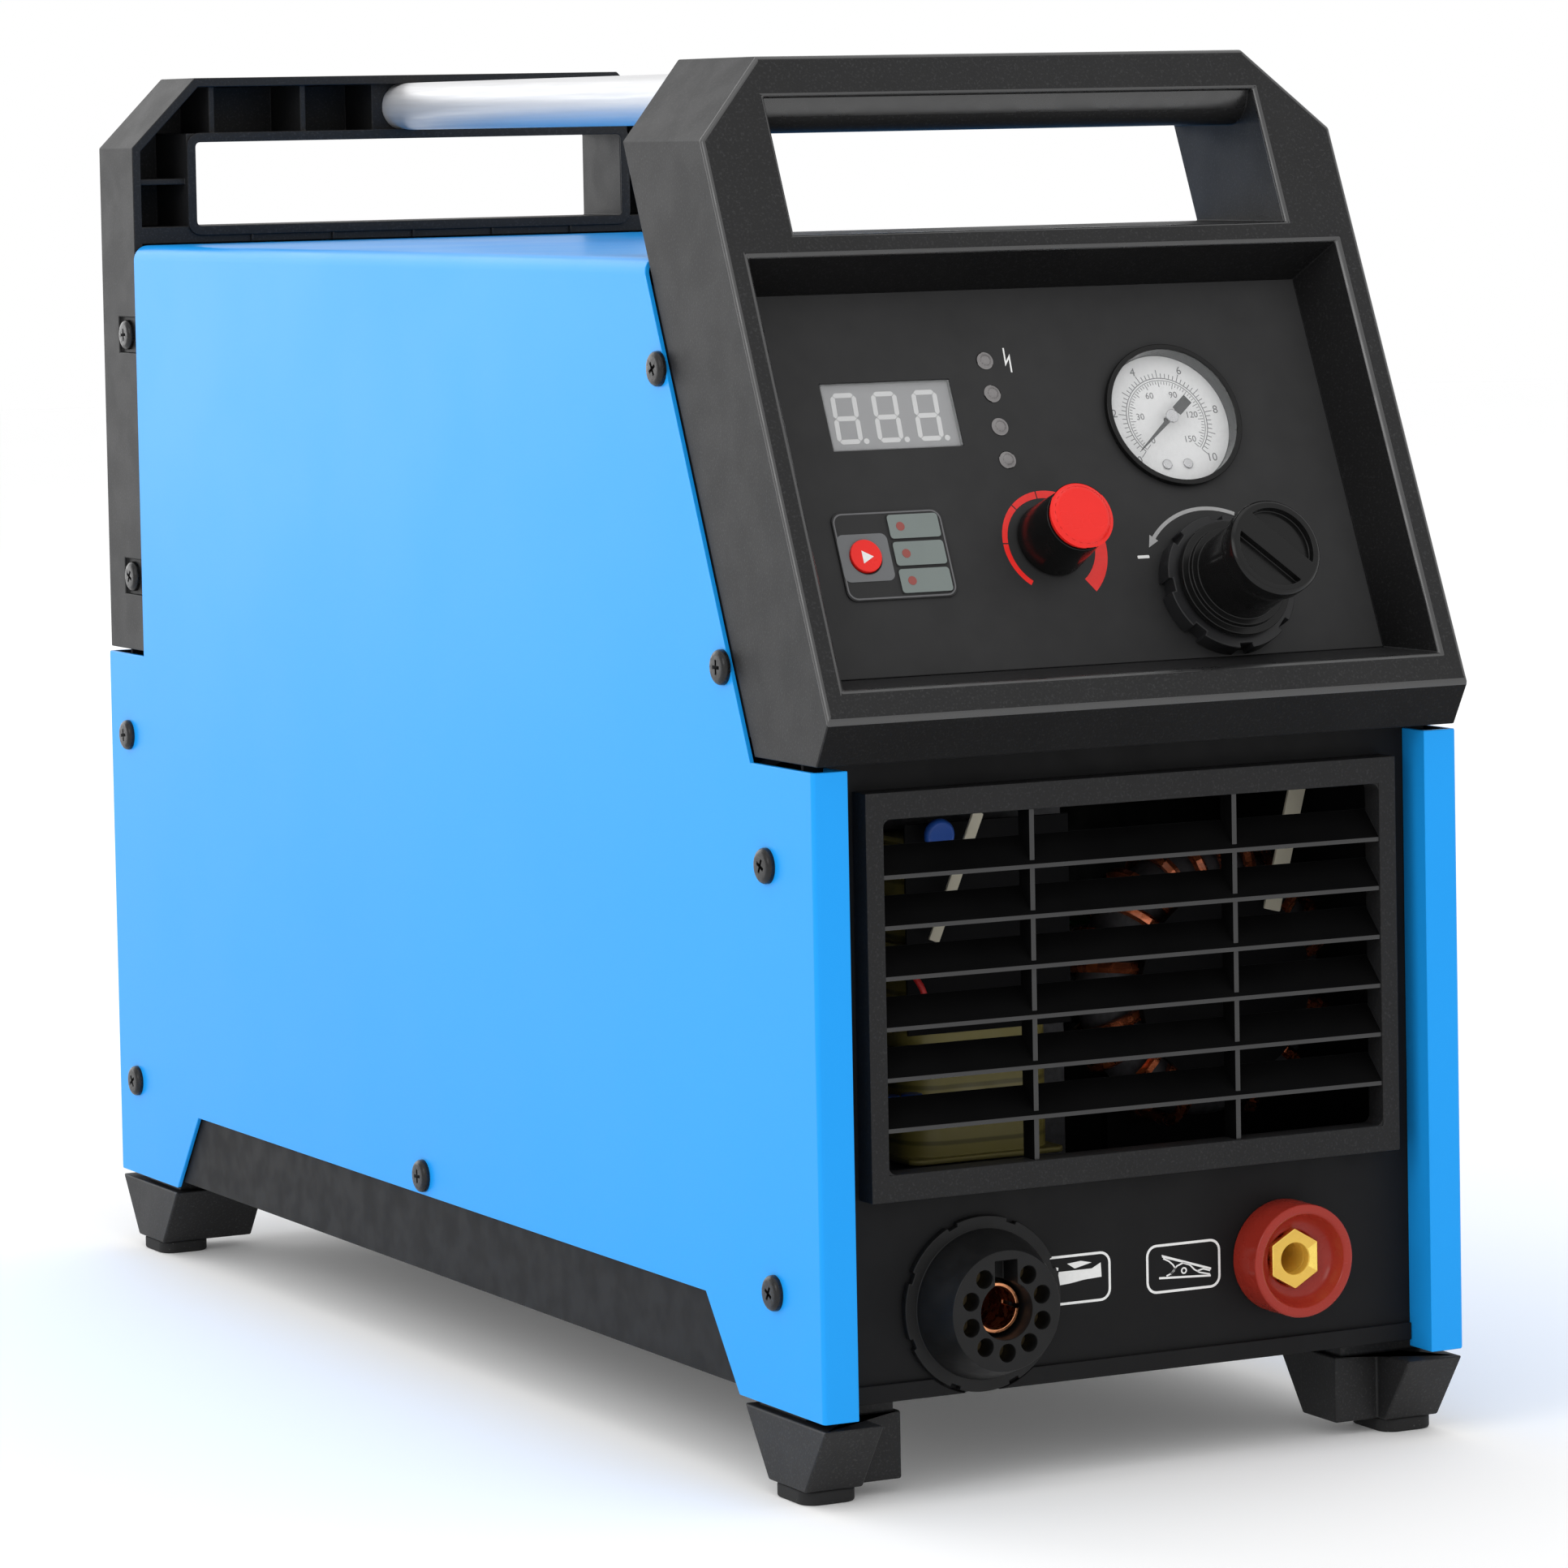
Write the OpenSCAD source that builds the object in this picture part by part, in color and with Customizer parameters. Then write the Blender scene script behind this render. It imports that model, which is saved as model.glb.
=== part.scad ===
// Plasma cutter unit: a sheet-steel cabinet between two plastic end bezels.
// Millimetres. +Z is up and the front faces -Y.
// Inside the modules Y starts at the cover's front flange. The last lines move
// the whole unit, so that its origin is under the middle of its bounding box.

/* [Cabinet] */
// Width of the sheet cover
cover_w = 205; // [200:1:225]
// Depth of the cover from flange to flange
cover_d = 520; // [500:1:580]
// Height of the cover's lower edge above the floor
cover_z = 25; // [23:0.5:32]
// Height of the cover's top above the floor
cover_top = 339.5; // [335:0.5:350]
// Thickness of the sheet steel
sheet_t = 1.5; // [1:0.1:2]
// Outside radius of the cover's top folds
fold_r = 5; // [3:0.5:12]
// Height of the seam between the panels and the bezels
joint_z = 203.5; // [200:0.5:210]
// Gap along the seam between the cover and the bezels
seam_gap = 1.5; // [0.5:0.1:3]
// Width of the cover's front and rear flanges
flange_w = 10.8; // [8:0.1:14]
// How far the panels sit behind the flanges
panel_inset = 11.7; // [9:0.1:13]
// Distance from each flange to the foot of the side notch
notch_inset = 51; // [45:1:80]
// Height of the side notch
notch_h = 26; // [15:1:35]
// Length of the notch's sloping end
notch_slope = 20; // [10:1:30]
// Height of the base pan's side walls
pan_wall_h = 42; // [38:1:48]
// Length of the side flanges folded back from the panels
panel_flange_l = 21; // [20:1:30]

/* [Bezels] */
// How far the bezels' sides stand in from the cover's sides
bezel_inset = 1; // [0.8:0.1:1.2]
// Height of the bezels' top above the cover's top
bezel_rise = 55.5; // [50:0.5:62]
// Size of the chamfers at the bezels' top corners
bezel_chamfer = 23; // [15:1:28]
// Thickness of the bezels' walls
bezel_wall = 3; // [2:0.5:3.5]
// Lean of the front face from the vertical, in degrees
lean = 24.1; // [20:0.1:26]
// How far the face's lower edge overhangs the flange
face_overhang = 8.2; // [6:0.1:10]
// Height of the face's lower edge above the seam
face_rise = 12.8; // [10:0.1:15]
// Front bezel's depth from its face to its back edge
front_bezel_d = 50; // [46:1:60]
// Rear bezel's depth
rear_bezel_d = 30.5; // [28:0.5:34]
// Width of the bezels' posts beside the handle openings
opening_post_w = 22.5; // [20:0.5:32]
// Height of the rails above the handle openings
rail_h = 21.5; // [21:0.5:24]
// Radius of the rounded grip above the front opening
grip_r = 10; // [8:0.5:11]
// How far the rounded grip sits behind the face
grip_inset = 3; // [2.5:0.1:4]
// Height of the sill below the handle openings
sill_h = 6; // [5:0.5:8]
// Thickness of the ribs inside the bezels
rib_t = 2; // [1.5:0.1:3]
// How far the bezels' side skirts reach under the cover
skirt_l = 14; // [12:1:20]

/* [Handle] */
// Outside diameter of the handle tube
tube_d = 16; // [14:0.5:17]
// Wall of the handle tube
tube_wall = 1.5; // [1:0.1:2.5]
// Height of the handle tube's axis below the bezels' top
tube_drop = 10.7; // [10.5:0.1:11.5]

/* [Control recess] */
// Width of the face's rim beside the recess
recess_rim = 6.5; // [5.5:0.1:8.5]
// Distance along the face from its lower edge to the recess
recess_start = 8.6; // [7:0.1:12]
// Length of the recess along the face
recess_l = 127.1; // [125:0.1:128]
// Depth of the recess
recess_depth = 15.6; // [12:0.1:18]
// Draft of the recess's side walls, across their depth
recess_draft_x = 8; // [5:0.5:10]
// Draft of the recess's lower wall
recess_draft_low = 8; // [5:0.5:10]
// Draft of the recess's upper wall
recess_draft_top = 5.5; // [4:0.5:8]
// Thickness of the control plate
plate_t = 2; // [1.5:0.1:3]
// Distance from the control plate's front to the control board's front
board_drop = 14; // [13:0.5:16]
// Thickness of the circuit boards
board_t = 1.6; // [1:0.1:2.4]

/* [Front grille] */
// Gap between the grille and the cover's flanges
grille_gap = 7.2; // [6:0.1:12]
// Height of the grille
grille_h = 112; // [105:1:114]
// Height of the grille's lower edge above the floor
grille_z = 83; // [81:0.5:86]
// How far the grille stands out from the panel
grille_t = 7.8; // [5:0.1:9]
// Width of the grille's side rails
grille_side = 5.5; // [4:0.1:8]
// Height of the grille's top and bottom rails
grille_rail = 7.5; // [5:0.1:9]
// Number of slats
slat_n = 6; // [4:1:7]
// Depth and rise of a slat
slat_rise = 7.5; // [5:0.1:9]
// Height of a slat's front edge
slat_edge = 1.3; // [1:0.1:3]
// Distance from the middle to each upright
upright_x = 32.3; // [20:0.1:45]
// Width of the uprights
upright_w = 1.6; // [1.2:0.1:3]

/* [Sockets] */
// Torch socket's distance left of the middle
torch_x = 47.7; // [46:0.1:50]
// Torch socket's height
torch_z = 51.4; // [51:0.1:53]
// Radius of the torch socket's flange
torch_flange_r = 24.4; // [23:0.1:26]
// Radius of the torch socket's nose at its foot
torch_nose_r = 20.8; // [20:0.1:22]
// Radius of the torch socket's front face
torch_face_r = 16.7; // [16:0.1:18]
// How far the torch socket stands out from the panel
torch_l = 15.7; // [12:0.1:20]
// Radius of the torch socket's centre bore
torch_bore_r = 8; // [7.6:0.1:8.5]
// Radius of the ring of contacts
contact_ring_r = 11.6; // [11.3:0.1:12]
// Number of positions round the ring, of which the key takes one
contact_slots = 10; // [8:1:10]
// Diameter of the contact holes
contact_hole_d = 5; // [4.5:0.1:5.2]
// Outside radius of the gas tube
gas_tube_r = 7; // [6.5:0.1:7.2]
// Bore of the gas tube
gas_tube_bore = 12; // [11:0.1:12.4]
// Work socket's distance right of the middle
work_x = 49.3; // [47:0.1:55]
// Work socket's height
work_z = 55.3; // [53:0.1:60]
// Outside radius of the work socket's insulator
work_r = 16; // [15:0.1:18]
// How far the work socket stands out from the panel
work_l = 12.7; // [11:0.1:16]
// Bore of the work socket's brass insert
work_bore = 9; // [8:0.1:10]

/* [Feet] */
// Height of the feet's shoulder above the floor
foot_top = 23; // [20:0.5:23]
// Length of a foot at its shoulder
foot_l = 49; // [40:1:60]
// Width of a foot
foot_w = 32; // [28:1:40]
// Height of the rubber pads
pad_h = 4; // [3:0.5:6]
// Width of the rubber pads
pad_w = 17; // [12:1:17]

/* [Fasteners] */
// Diameter of the screws' pan heads
screw_head_d = 10; // [8:0.5:11]
// Height of the screws' heads
screw_head_h = 2.2; // [1.5:0.1:3]
// Diameter of the screws' shanks
screw_d = 4.8; // [4:0.1:5]
// Length of the side screws under their heads
screw_l = 8; // [7:0.5:10]

/* [Current control] */
// Current knob's distance left of the middle
current_x = 12.1; // [11:0.1:14]
// Current knob's distance up the face
current_s = 53.8; // [50:0.1:56]
// Diameter of the current knob's skirt
current_skirt_d = 21.5; // [20:0.1:24]
// Diameter of the current knob's cap
current_cap_d = 18; // [16:0.1:19]
// Height of the current knob
current_h = 20.3; // [17:0.1:24]
// Diameter of the potentiometer's shaft
shaft_d = 6; // [5:0.1:6.4]

/* [Gauge] */
// Gauge's distance right of the middle
gauge_x = 36; // [34:0.1:38]
// Gauge's distance up the face
gauge_s = 89.3; // [88:0.1:91]
// Radius of the gauge's window
gauge_r = 19.9; // [19:0.1:20.5]
// Depth of the dial below the gauge's rim
gauge_dial_depth = 5; // [4:0.1:6]
// Height of the gauge's rim above the control plate
gauge_rim_h = 2; // [1.5:0.1:3]
// Depth of the gauge's case behind the control plate
gauge_case_l = 24; // [20:0.5:30]

/* [Air regulator] */
// Regulator's distance right of the middle
reg_x = 38.8; // [38:0.1:42]
// Regulator's distance up the face
reg_s = 36.9; // [36:0.1:38]
// Radius of the regulator's panel nut
reg_nut_r = 20; // [19:0.1:21]
// Height of the regulator's panel nut
reg_nut_h = 6; // [5:0.1:7]
// Radius of the regulator knob's skirt
reg_skirt_r = 17; // [16:0.1:18]
// Radius of the regulator knob's grip
reg_grip_r = 12.8; // [12:0.1:13.5]
// Radius of the regulator knob's flared top
reg_top_r = 14; // [13.8:0.1:15]
// Height of the regulator knob's top above the control plate
reg_h = 33; // [30:0.1:38]
// Pull of the regulator knob that frees it to turn
reg_pull = 3; // [2:0.5:4]

/* [Power parts] */
// Width of the heat sink
sink_w = 110; // [100:1:120]
// Length of the heat sink
sink_l = 260; // [220:5:280]
// Height of the heat sink
sink_h = 74; // [60:1:80]
// Spacing of the heat sink's fins
fin_pitch = 11; // [8:0.5:15]
// Transformer's distance left of the middle
transformer_x = 30; // [29:0.5:34]
// Width of the transformer's core
core_w = 70; // [66:1:74]
// Height of the transformer's core
core_h = 112; // [100:1:116]
// Square size of the transformer's middle leg
core_leg = 20; // [18:0.5:22]
// Choke's distance right of the middle
choke_x = 52; // [50:0.5:54]
// Choke's height
choke_z = 128; // [120:0.5:135]
// Radius of the choke's ring, to the middle of its section
choke_ring_r = 30; // [29:0.5:31]
// Radius of the choke ring's section
choke_section_r = 9; // [8:0.1:9.2]
// Diameter of the choke's wire
choke_wire_d = 3.6; // [3:0.1:3.7]
// Loops of the choke's winding, which start inside the ring and end outside it
choke_loops = 23.5; // [11.5:1:23.5]

/* [Fan] */
// Size of the fan's square frame
fan_size = 119; // [110:1:122]
// Depth of the fan's frame
fan_t = 38; // [30:1:40]
// Height of the fan's axis
fan_z = 115; // [105:1:120]
// Number of blades
blade_n = 7; // [5:1:9]

/* [Rear fittings] */
// Power switch's distance left of the middle
switch_x = 45; // [40:1:55]
// Power switch's height
switch_z = 296; // [290:1:305]
// Radius of the power switch's knob
switch_knob_r = 15; // [12:0.5:18]
// Cable gland's distance left of the middle
gland_x = 45; // [35:1:60]
// Cable gland's height
gland_z = 240; // [232:1:260]
// Bore of the cable gland
gland_bore = 13; // [10:0.5:14]
// Air inlet's distance right of the middle
inlet_x = 45; // [35:1:60]
// Air inlet's height
inlet_z = 240; // [235:1:245]
// Bore of the air inlet
inlet_bore = 7; // [5:0.5:8]
// Outside diameter of the air hoses
hose_d = 8; // [6:0.5:8]

/* [Clearances] */
// Gap round a screw or a pin in its hole
pin_gap = 0.1; // [0.05:0.05:0.2]
// Gap round a piece that drops into an opening
drop_gap = 0.2; // [0.1:0.05:0.4]
// Radial clearance of a shaft that turns or slides
run_gap = 0.05; // [0.02:0.01:0.1]
// Gap beside a piece that moves past another
move_gap = 0.4; // [0.3:0.1:0.8]

/* [Hidden] */
$fn = 48;
eps = 0.01;

// Further than any piece reaches
far_out = 200;

// Cabinet planes
half_w = cover_w / 2;
bezel_w = cover_w - 2 * bezel_inset;
bezel_top = cover_top + bezel_rise;
opening_w = bezel_w - 2 * opening_post_w;
opening_h = bezel_rise - sill_h - rail_h;
recess_w = bezel_w - 2 * recess_rim;
grille_w = cover_w - 2 * flange_w - 2 * grille_gap;
inside_x = half_w - sheet_t;
pan_z = cover_z + 2;
pan_top = pan_z + sheet_t;
pan_x = inside_x - drop_gap;
panel_x = pan_x - sheet_t - drop_gap;
panel_y = panel_inset;
panel_back_y = panel_y + sheet_t;
rear_panel_y = cover_d - panel_inset;
rear_panel_in_y = rear_panel_y - sheet_t;
return_x = half_w - flange_w;
rear_bezel_y = cover_d - rear_bezel_d;
cover_joint_z = joint_z - seam_gap;

// The leaning face
face_z = joint_z + face_rise;
lip_y = -0.5;
opening_z = cover_top + sill_h;
opening_top = opening_z + opening_h;
tube_z = bezel_top - tube_drop;
tube_y0 = face_y(tube_z) + 18;
top_gap = 0.3;
skirt_t = 2.5;
rib_x = opening_w / 2 - 7.2;
rib_step = 33.2;
rib_l = 118;
post_rib_l = 110;
post_rib_z = opening_z + opening_h / 2;
boss_side = 4;
tube_y1 = cover_d - bezel_wall - 6;
function face_y(z) = (z - face_z) * tan(lean) - face_overhang;
function bezel_back_y(z) = face_y(z) + front_bezel_d;
function cover_front_y(z) = bezel_back_y(z) + seam_gap / cos(lean);

// Side screws as [y, z], worked from the pieces that they hold
low_screw_rise = 32;
high_screw_drop = 29;
skirt_screw_rise = 23.7;
skirt_screw_drop = 31;
skirt_screw_in = 6;
bezel_screw_in = 10;
front_screw_y = 28;
middle_screw_shift = 5;
rear_screw_in = 17;
low_screw_z = cover_z + low_screw_rise;
high_screw_z = joint_z - high_screw_drop;
upper_screw_zs = [joint_z + skirt_screw_rise, cover_top - skirt_screw_drop];
rear_screw_y = cover_d - rear_screw_in;
middle_screw_y = cover_d / 2 + middle_screw_shift;
pan_screws = [for (y = [front_screw_y, middle_screw_y, rear_screw_y]) [y, low_screw_z]];
panel_screws = [for (y = [front_screw_y, rear_screw_y]) [y, high_screw_z]];
skirt_screws = [for (z = upper_screw_zs) [bezel_back_y(z) + skirt_screw_in, z]];
rear_bezel_screws = [for (z = upper_screw_zs) [rear_bezel_y + bezel_screw_in, z + 1]];
cover_screw_points = concat(pan_screws, panel_screws, skirt_screws);
screw_pocket = 1.2;

// Feet
foot_screw_x = half_w - foot_w + 7.5;
foot_screw_y = 28;
foot_toe_y = 13.3;
foot_heel_y = 35.2;
foot_bore_z = 12;

// Sockets
torch_barrel_r = torch_nose_r - 1.3;
torch_flange_t = 2.4;
torch_nose_z = 3.9;
torch_barrel_l = 28;
gas_tube_recess = 6;
gas_tube_end = 38;
contact_recess = 7;
work_barrel_r = 11.8;
work_barrel_l = 18;
work_lip = 4.5;
work_floor = 4.7;
insert_r = 7.5;
insert_end = 30;
hex_r = 8.66;
nut_t = 5.5;
nut_wall = 2.9;

// Control plate
plate_w = recess_w - 2 * recess_draft_x - 2 * drop_gap;
plate_s0 = recess_start + recess_draft_low + drop_gap;
plate_s1 = recess_start + recess_l - recess_draft_top - drop_gap;
plate_ledge = 7;
tub_wall = 3;
tub_floor = 2.5;
display_s = 93.35;
display_in = 34;
display_x = display_in - plate_w / 2;
window_w = 40.4;
window_l = 19.7;
housing_t = 10;
housing_rim = 2.2;
face_rise_in = 0.5;
led_gap = 32.9;
led_x = display_x + led_gap;
led_d = 4;
led_top_s = 108.3;
led_pitch = 9.97;
led_s = [for (i = [0:3]) led_top_s - led_pitch * i];
keypad_in = 24.8;
keypad_x = keypad_in - plate_w / 2;
keypad_s = 52;
keypad_w = 34.3;
keypad_l = 26;
keypad_t = 0.6;
mode_shift = 7.65;
mode_x = keypad_x + mode_shift;
mode_w = 15.7;
mode_l = 7.1;
mode_pitch = 8;
button_shift = 9.1;
button_x = keypad_x - button_shift;
button_s = 51.9;
button_d = 10;
button_travel = 0.8;
spacer_in = 12.8;
spacer_x = plate_w / 2 - spacer_in;
spacer_s = [plate_s0 + 13.2, plate_s1 - 12];
spacer_d = 6;

// Current control
bush_r = 4.5;
pot_l = 10;
knob_gap = 0.6;
knob_cap_t = 3.5;
shaft_top = current_h - knob_cap_t - 2;

// Gauge
gauge_rim_w = 1.6;
gauge_body_r = gauge_r + 0.9;
dial_top = gauge_rim_h - gauge_dial_depth;
dial_t = 0.8;
needle_t = 0.4;
needle_rise = 2.8;
needle_z = dial_top + needle_rise;

// Regulator and its hoses
reg_neck_r = reg_nut_r - 5.4;
reg_body_r = 19;
reg_body_l = 40;
reg_spindle_r = 4;
reg_skirt_h = 2.4;
reg_collar_r = 14.8;
reg_collar_h = 1.6;
reg_flare_l = 4;
reg_top_h = 5;
reg_rim_w = 1.6;
reg_bar_w = 7;
reg_bar_h = 2.4;
reg_edge = 1;
port_x = 9;

// Power parts, which stand on the pan
post_r = 5;
post_h = 14;
sink_y = 130;
sink_z = pan_top + post_h;
sink_top = sink_z + sink_h;
sink_base = 9;
fin_t = 2.5;
sink_pad_r = 7;
sink_pad_h = 4;
module_w = 34;
module_l = 62;
module_h = 17;
terminal_pitch = 20;
terminal_r = 4;
board_rise = 20;
board_side = 25;
board_z = sink_top + board_rise;
board_w = sink_w + 2 * board_side;
sink_post_x = floor((sink_w / 2 - 10) / fin_pitch) * fin_pitch;
sink_posts = [sink_y + 15, sink_y + sink_l - 15];
board_posts = [sink_y + 8, sink_y + sink_l - 8];
board_post_x = sink_w / 2 - 6;
cap_d = 35;
cap_h = 50;
transformer_y = 65;
core_z = 76;
core_window = (core_w - 2 * core_leg) / 2;
winding_gap = 0.5;
bobbin_t = 1.5;
choke_y = 60;
choke_wind_r = choke_section_r + choke_wire_d / 2 + 0.5;
choke_start = -75;
choke_span = 330;
choke_rings = 24;
choke_plate_y = choke_y + choke_wind_r + choke_wire_d / 2 + move_gap;
choke_plate_w = 46;
choke_plate_t = 4;
choke_plate_rise = 26;
choke_foot_l = 22;
washer_t = 2.5;
bolt_r = 4;

// Fan
fan_bore_r = fan_size / 2 - 2.5;
fan_back_y = rear_panel_in_y;
fan_front_y = fan_back_y - fan_t;
fan_boss_r = 18;
fan_boss_t = 6;
hub_r = 19.5;
fan_shaft_r = 1.5;
fan_screw = fan_size / 2 - 7;

// Rear fittings
gland_l = 24;
inlet_l = 22;
switch_plate = 46;
valve_size = 32;
valve_l = 34;
inlet_thread_r = 8;
plunger_r = 5;
plunger_l = 24;
plunger_stroke = 2;
valve_y = cover_d - bezel_wall - 17;
coil_z0 = inlet_z + valve_size / 2;
coil_h = 30;
switch_bush_r = 9;
switch_shaft_r = 3;
switch_plate_t = 3;
switch_knob_h = 12;
gland_thread_r = 10;
switch_body_w = 40;
switch_body_l = 34;
switch_disc_t = 4;
switch_bar_w = 8;

// Bounding box along Y
reg_base_y = reg_s * sin(lean) - face_overhang + recess_depth * cos(lean);
reg_front_y = reg_base_y - reg_h * cos(lean) - (reg_top_r - reg_edge) * sin(lean);
unit_y0 = min(reg_front_y, -face_overhang, panel_y - torch_l);
unit_y1 = cover_d + max(gland_l, inlet_l);
unit_mid_y = (unit_y0 + unit_y1) / 2;

// ---- Helpers ----

// A YZ outline drawn out along X and centred on it
module across(w) {
    translate([-w / 2, 0, 0])
        rotate([90, 0, 90])
            linear_extrude(w) children();
}

// An XZ outline drawn out along Y
module along(y0, y1) {
    translate([0, y1, 0])
        rotate([90, 0, 0])
            linear_extrude(y1 - y0) children();
}

module box(lo, hi) {
    translate(lo) cube(hi - lo);
}

module both_sides() {
    children();
    mirror([1, 0, 0]) children();
}

// A disc or a post from z0 to z1
module post(r, z0, z1) {
    translate([0, 0, z0]) cylinder(r = r, h = z1 - z0);
}

module ring(r_out, r_in, z0, z1) {
    difference() {
        post(r_out, z0, z1);
        post(r_in, z0 - 1, z1 + 1);
    }
}

module round_rect(w, h, r) {
    square([w - 2 * r, h], center = true);
    square([w, h - 2 * r], center = true);
    for (x = [-1, 1], y = [-1, 1])
        translate([x * (w / 2 - r), y * (h / 2 - r)]) circle(r);
}

// Frames: local +Z points out of the surface and local +Y points up it
module on_face(x, s, depth) {
    y = s * sin(lean) + depth * cos(lean) - face_overhang;
    z = face_z + s * cos(lean) - depth * sin(lean);
    translate([x, y, z]) rotate([90 - lean, 0, 0]) children();
}

module on_plate(x, s) {
    on_face(x, s, recess_depth) children();
}

module on_front(x, z) {
    translate([x, panel_y, z]) rotate([90, 0, 0]) children();
}

module on_rear(x, y, z) {
    translate([x, y, z]) rotate([90, 0, 180]) children();
}

// A frame whose +Z points away from the cabinet's side
module on_side(x, y, z) {
    translate([x, y, z]) rotate([0, 90, 0]) children();
}

module side_holes(points, r) {
    both_sides()
        for (p = points) on_side(0, p[0], p[1]) post(r, inside_x - 20, half_w + 5);
}

// One unbroken tube along points, its rings turned with the path
function unit(v) = v / norm(v);
function tangents(p) = [
    for (i = [0:len(p) - 1]) unit(p[min(i + 1, len(p) - 1)] - p[max(i - 1, 0)])
];
function square_to(n, t) = unit(n - (n * t) * t);
function normals(t, start) = [
    for (i = 0, n = square_to(start, t[0]); i < len(t);
        i = i + 1, n = i < len(t) ? square_to(n, t[i]) : n) n
];
module swept_tube(path, r, sides, start) {
    t = tangents(path);
    n = normals(t, start);
    last = (len(path) - 1) * sides;
    rings = [
        for (i = [0:len(path) - 1], k = [0:sides - 1])
            path[i] + r * (cos(360 * k / sides) * n[i] + sin(360 * k / sides) * cross(t[i], n[i]))
    ];
    walls = [
        for (i = [0:len(path) - 2], k = [0:sides - 1], half = [0, 1])
            let (a = i * sides + k, b = i * sides + (k + 1) % sides)
                half == 0 ? [a, a + sides, b] : [b, a + sides, b + sides]
    ];
    caps = [
        for (k = [1:sides - 2], end = [0, 1])
            end == 0 ? [0, k, k + 1] : [last, last + k + 1, last + k]
    ];
    polyhedron(rings, concat(walls, caps));
}

function bezier(a, b, c, d, t) =
    pow(1 - t, 3) * a + 3 * pow(1 - t, 2) * t * b + 3 * (1 - t) * t * t * c + pow(t, 3) * d;

// ---- Cabinet ----

module cover_outline(inset) {
    w = cover_w - 2 * inset;
    r = fold_r - inset;
    top = cover_top - inset;
    foot = cover_z - inset;
    translate([-w / 2, foot]) square([w, top - r - foot]);
    translate([r - w / 2, foot]) square([w - 2 * r, top - foot]);
    for (side = [-1, 1]) translate([side * (w / 2 - r), top - r]) circle(r);
}

module cover_side() {
    upper_back = rear_bezel_y - seam_gap;
    polygon([
        [0, cover_z], [0, cover_joint_z], [cover_front_y(cover_joint_z), cover_joint_z],
        [cover_front_y(cover_top), cover_top], [upper_back, cover_top],
        [upper_back, cover_joint_z], [cover_d, cover_joint_z], [cover_d, cover_z]
    ]);
}

module cover_notch() {
    far = cover_d - notch_inset;
    polygon([
        [notch_inset - notch_slope / notch_h, cover_z - 1],
        [notch_inset + notch_slope, cover_z + notch_h],
        [far - notch_slope, cover_z + notch_h],
        [far + notch_slope / notch_h, cover_z - 1]
    ]);
}

// Flange and return of one lower corner, from the flange plane inward
module cover_corner() {
    box([return_x, 0, cover_z], [half_w - eps, sheet_t, cover_joint_z]);
    box([return_x, 0, cover_z], [return_x + sheet_t, panel_inset, cover_joint_z]);
}

module cover_shell() {
    color("dodgerblue") difference() {
        union() {
            intersection() {
                difference() {
                    along(0, cover_d) cover_outline(0);
                    along(-1, cover_d + 1) cover_outline(sheet_t);
                }
                across(cover_w) cover_side();
            }
            both_sides() {
                cover_corner();
                translate([0, cover_d, 0]) mirror([0, 1, 0]) cover_corner();
            }
        }
        across(cover_w + 2) cover_notch();
        side_holes(cover_screw_points, screw_d / 2 + 3 * pin_gap);
    }
}

// The pan's floor, narrower where it passes between the cover's returns
module pan_floor() {
    lip_x = return_x - drop_gap;
    clear = panel_y + drop_gap;
    box([-pan_x, clear, pan_z], [pan_x, cover_d - clear, pan_top]);
    box([-lip_x, panel_y - sheet_t, pan_z], [lip_x, rear_panel_y + sheet_t, pan_top]);
}

module base_pan() {
    lip_x = return_x - drop_gap;
    color("#202020") difference() {
        union() {
            pan_floor();
            both_sides()
                box([pan_x - sheet_t, panel_y + drop_gap, pan_z],
                    [pan_x, rear_panel_y - drop_gap, pan_z + pan_wall_h]);
            for (y = [panel_y - sheet_t, rear_panel_y])
                box([-lip_x, y, pan_z], [lip_x, y + sheet_t, pan_z + 5]);
        }
        side_holes(pan_screws, screw_d / 2 + pin_gap);
        translate([-torch_x, 0, torch_z]) rotate([90, 0, 0]) post(torch_flange_r + 0.5, -panel_y, 1);
        foot_corners() translate([foot_screw_x, foot_screw_y, 0])
            post(screw_d / 2 + pin_gap, 0, pan_top + 1);
    }
}

// A panel's sheet with side flanges folded towards local -Z, drawn from its outer face
module panel_sheet(y_out, y_in, inward) {
    flange_y = y_in + inward * panel_flange_l;
    flange_z = pan_z + pan_wall_h + 2;
    box([-panel_x, min(y_out, y_in), pan_top], [panel_x, max(y_out, y_in), joint_z]);
    both_sides()
        box([panel_x - sheet_t, min(y_out, flange_y), flange_z],
            [panel_x, max(y_out, flange_y), joint_z - 2]);
}

module front_panel() {
    hole_w = grille_w - 2 * grille_side + 2;
    hole_z = grille_z + grille_rail - 1;
    hole_h = grille_h - 2 * grille_rail + 2;
    color("#262626") difference() {
        panel_sheet(panel_y, panel_back_y, 1);
        translate([-hole_w / 2, panel_y - 1, hole_z]) cube([hole_w, sheet_t + 2, hole_h]);
        on_front(-torch_x, torch_z) post(torch_barrel_r + drop_gap, -5, 5);
        on_front(work_x, work_z) post(work_barrel_r + drop_gap, -5, 5);
        side_holes(panel_screws, screw_d / 2 + pin_gap);
    }
}

module rear_panel() {
    color("#262626") difference() {
        panel_sheet(rear_panel_y, rear_panel_in_y, -1);
        on_rear(0, rear_panel_y, fan_z) post(fan_bore_r, -5, 5);
        for (x = [-1, 1], z = [-1, 1])
            on_rear(x * fan_screw, rear_panel_y, fan_z + z * fan_screw)
                post(screw_d / 2, -5, 5);
        side_holes(panel_screws, screw_d / 2 + pin_gap);
    }
}

// ---- Bezels ----

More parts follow.
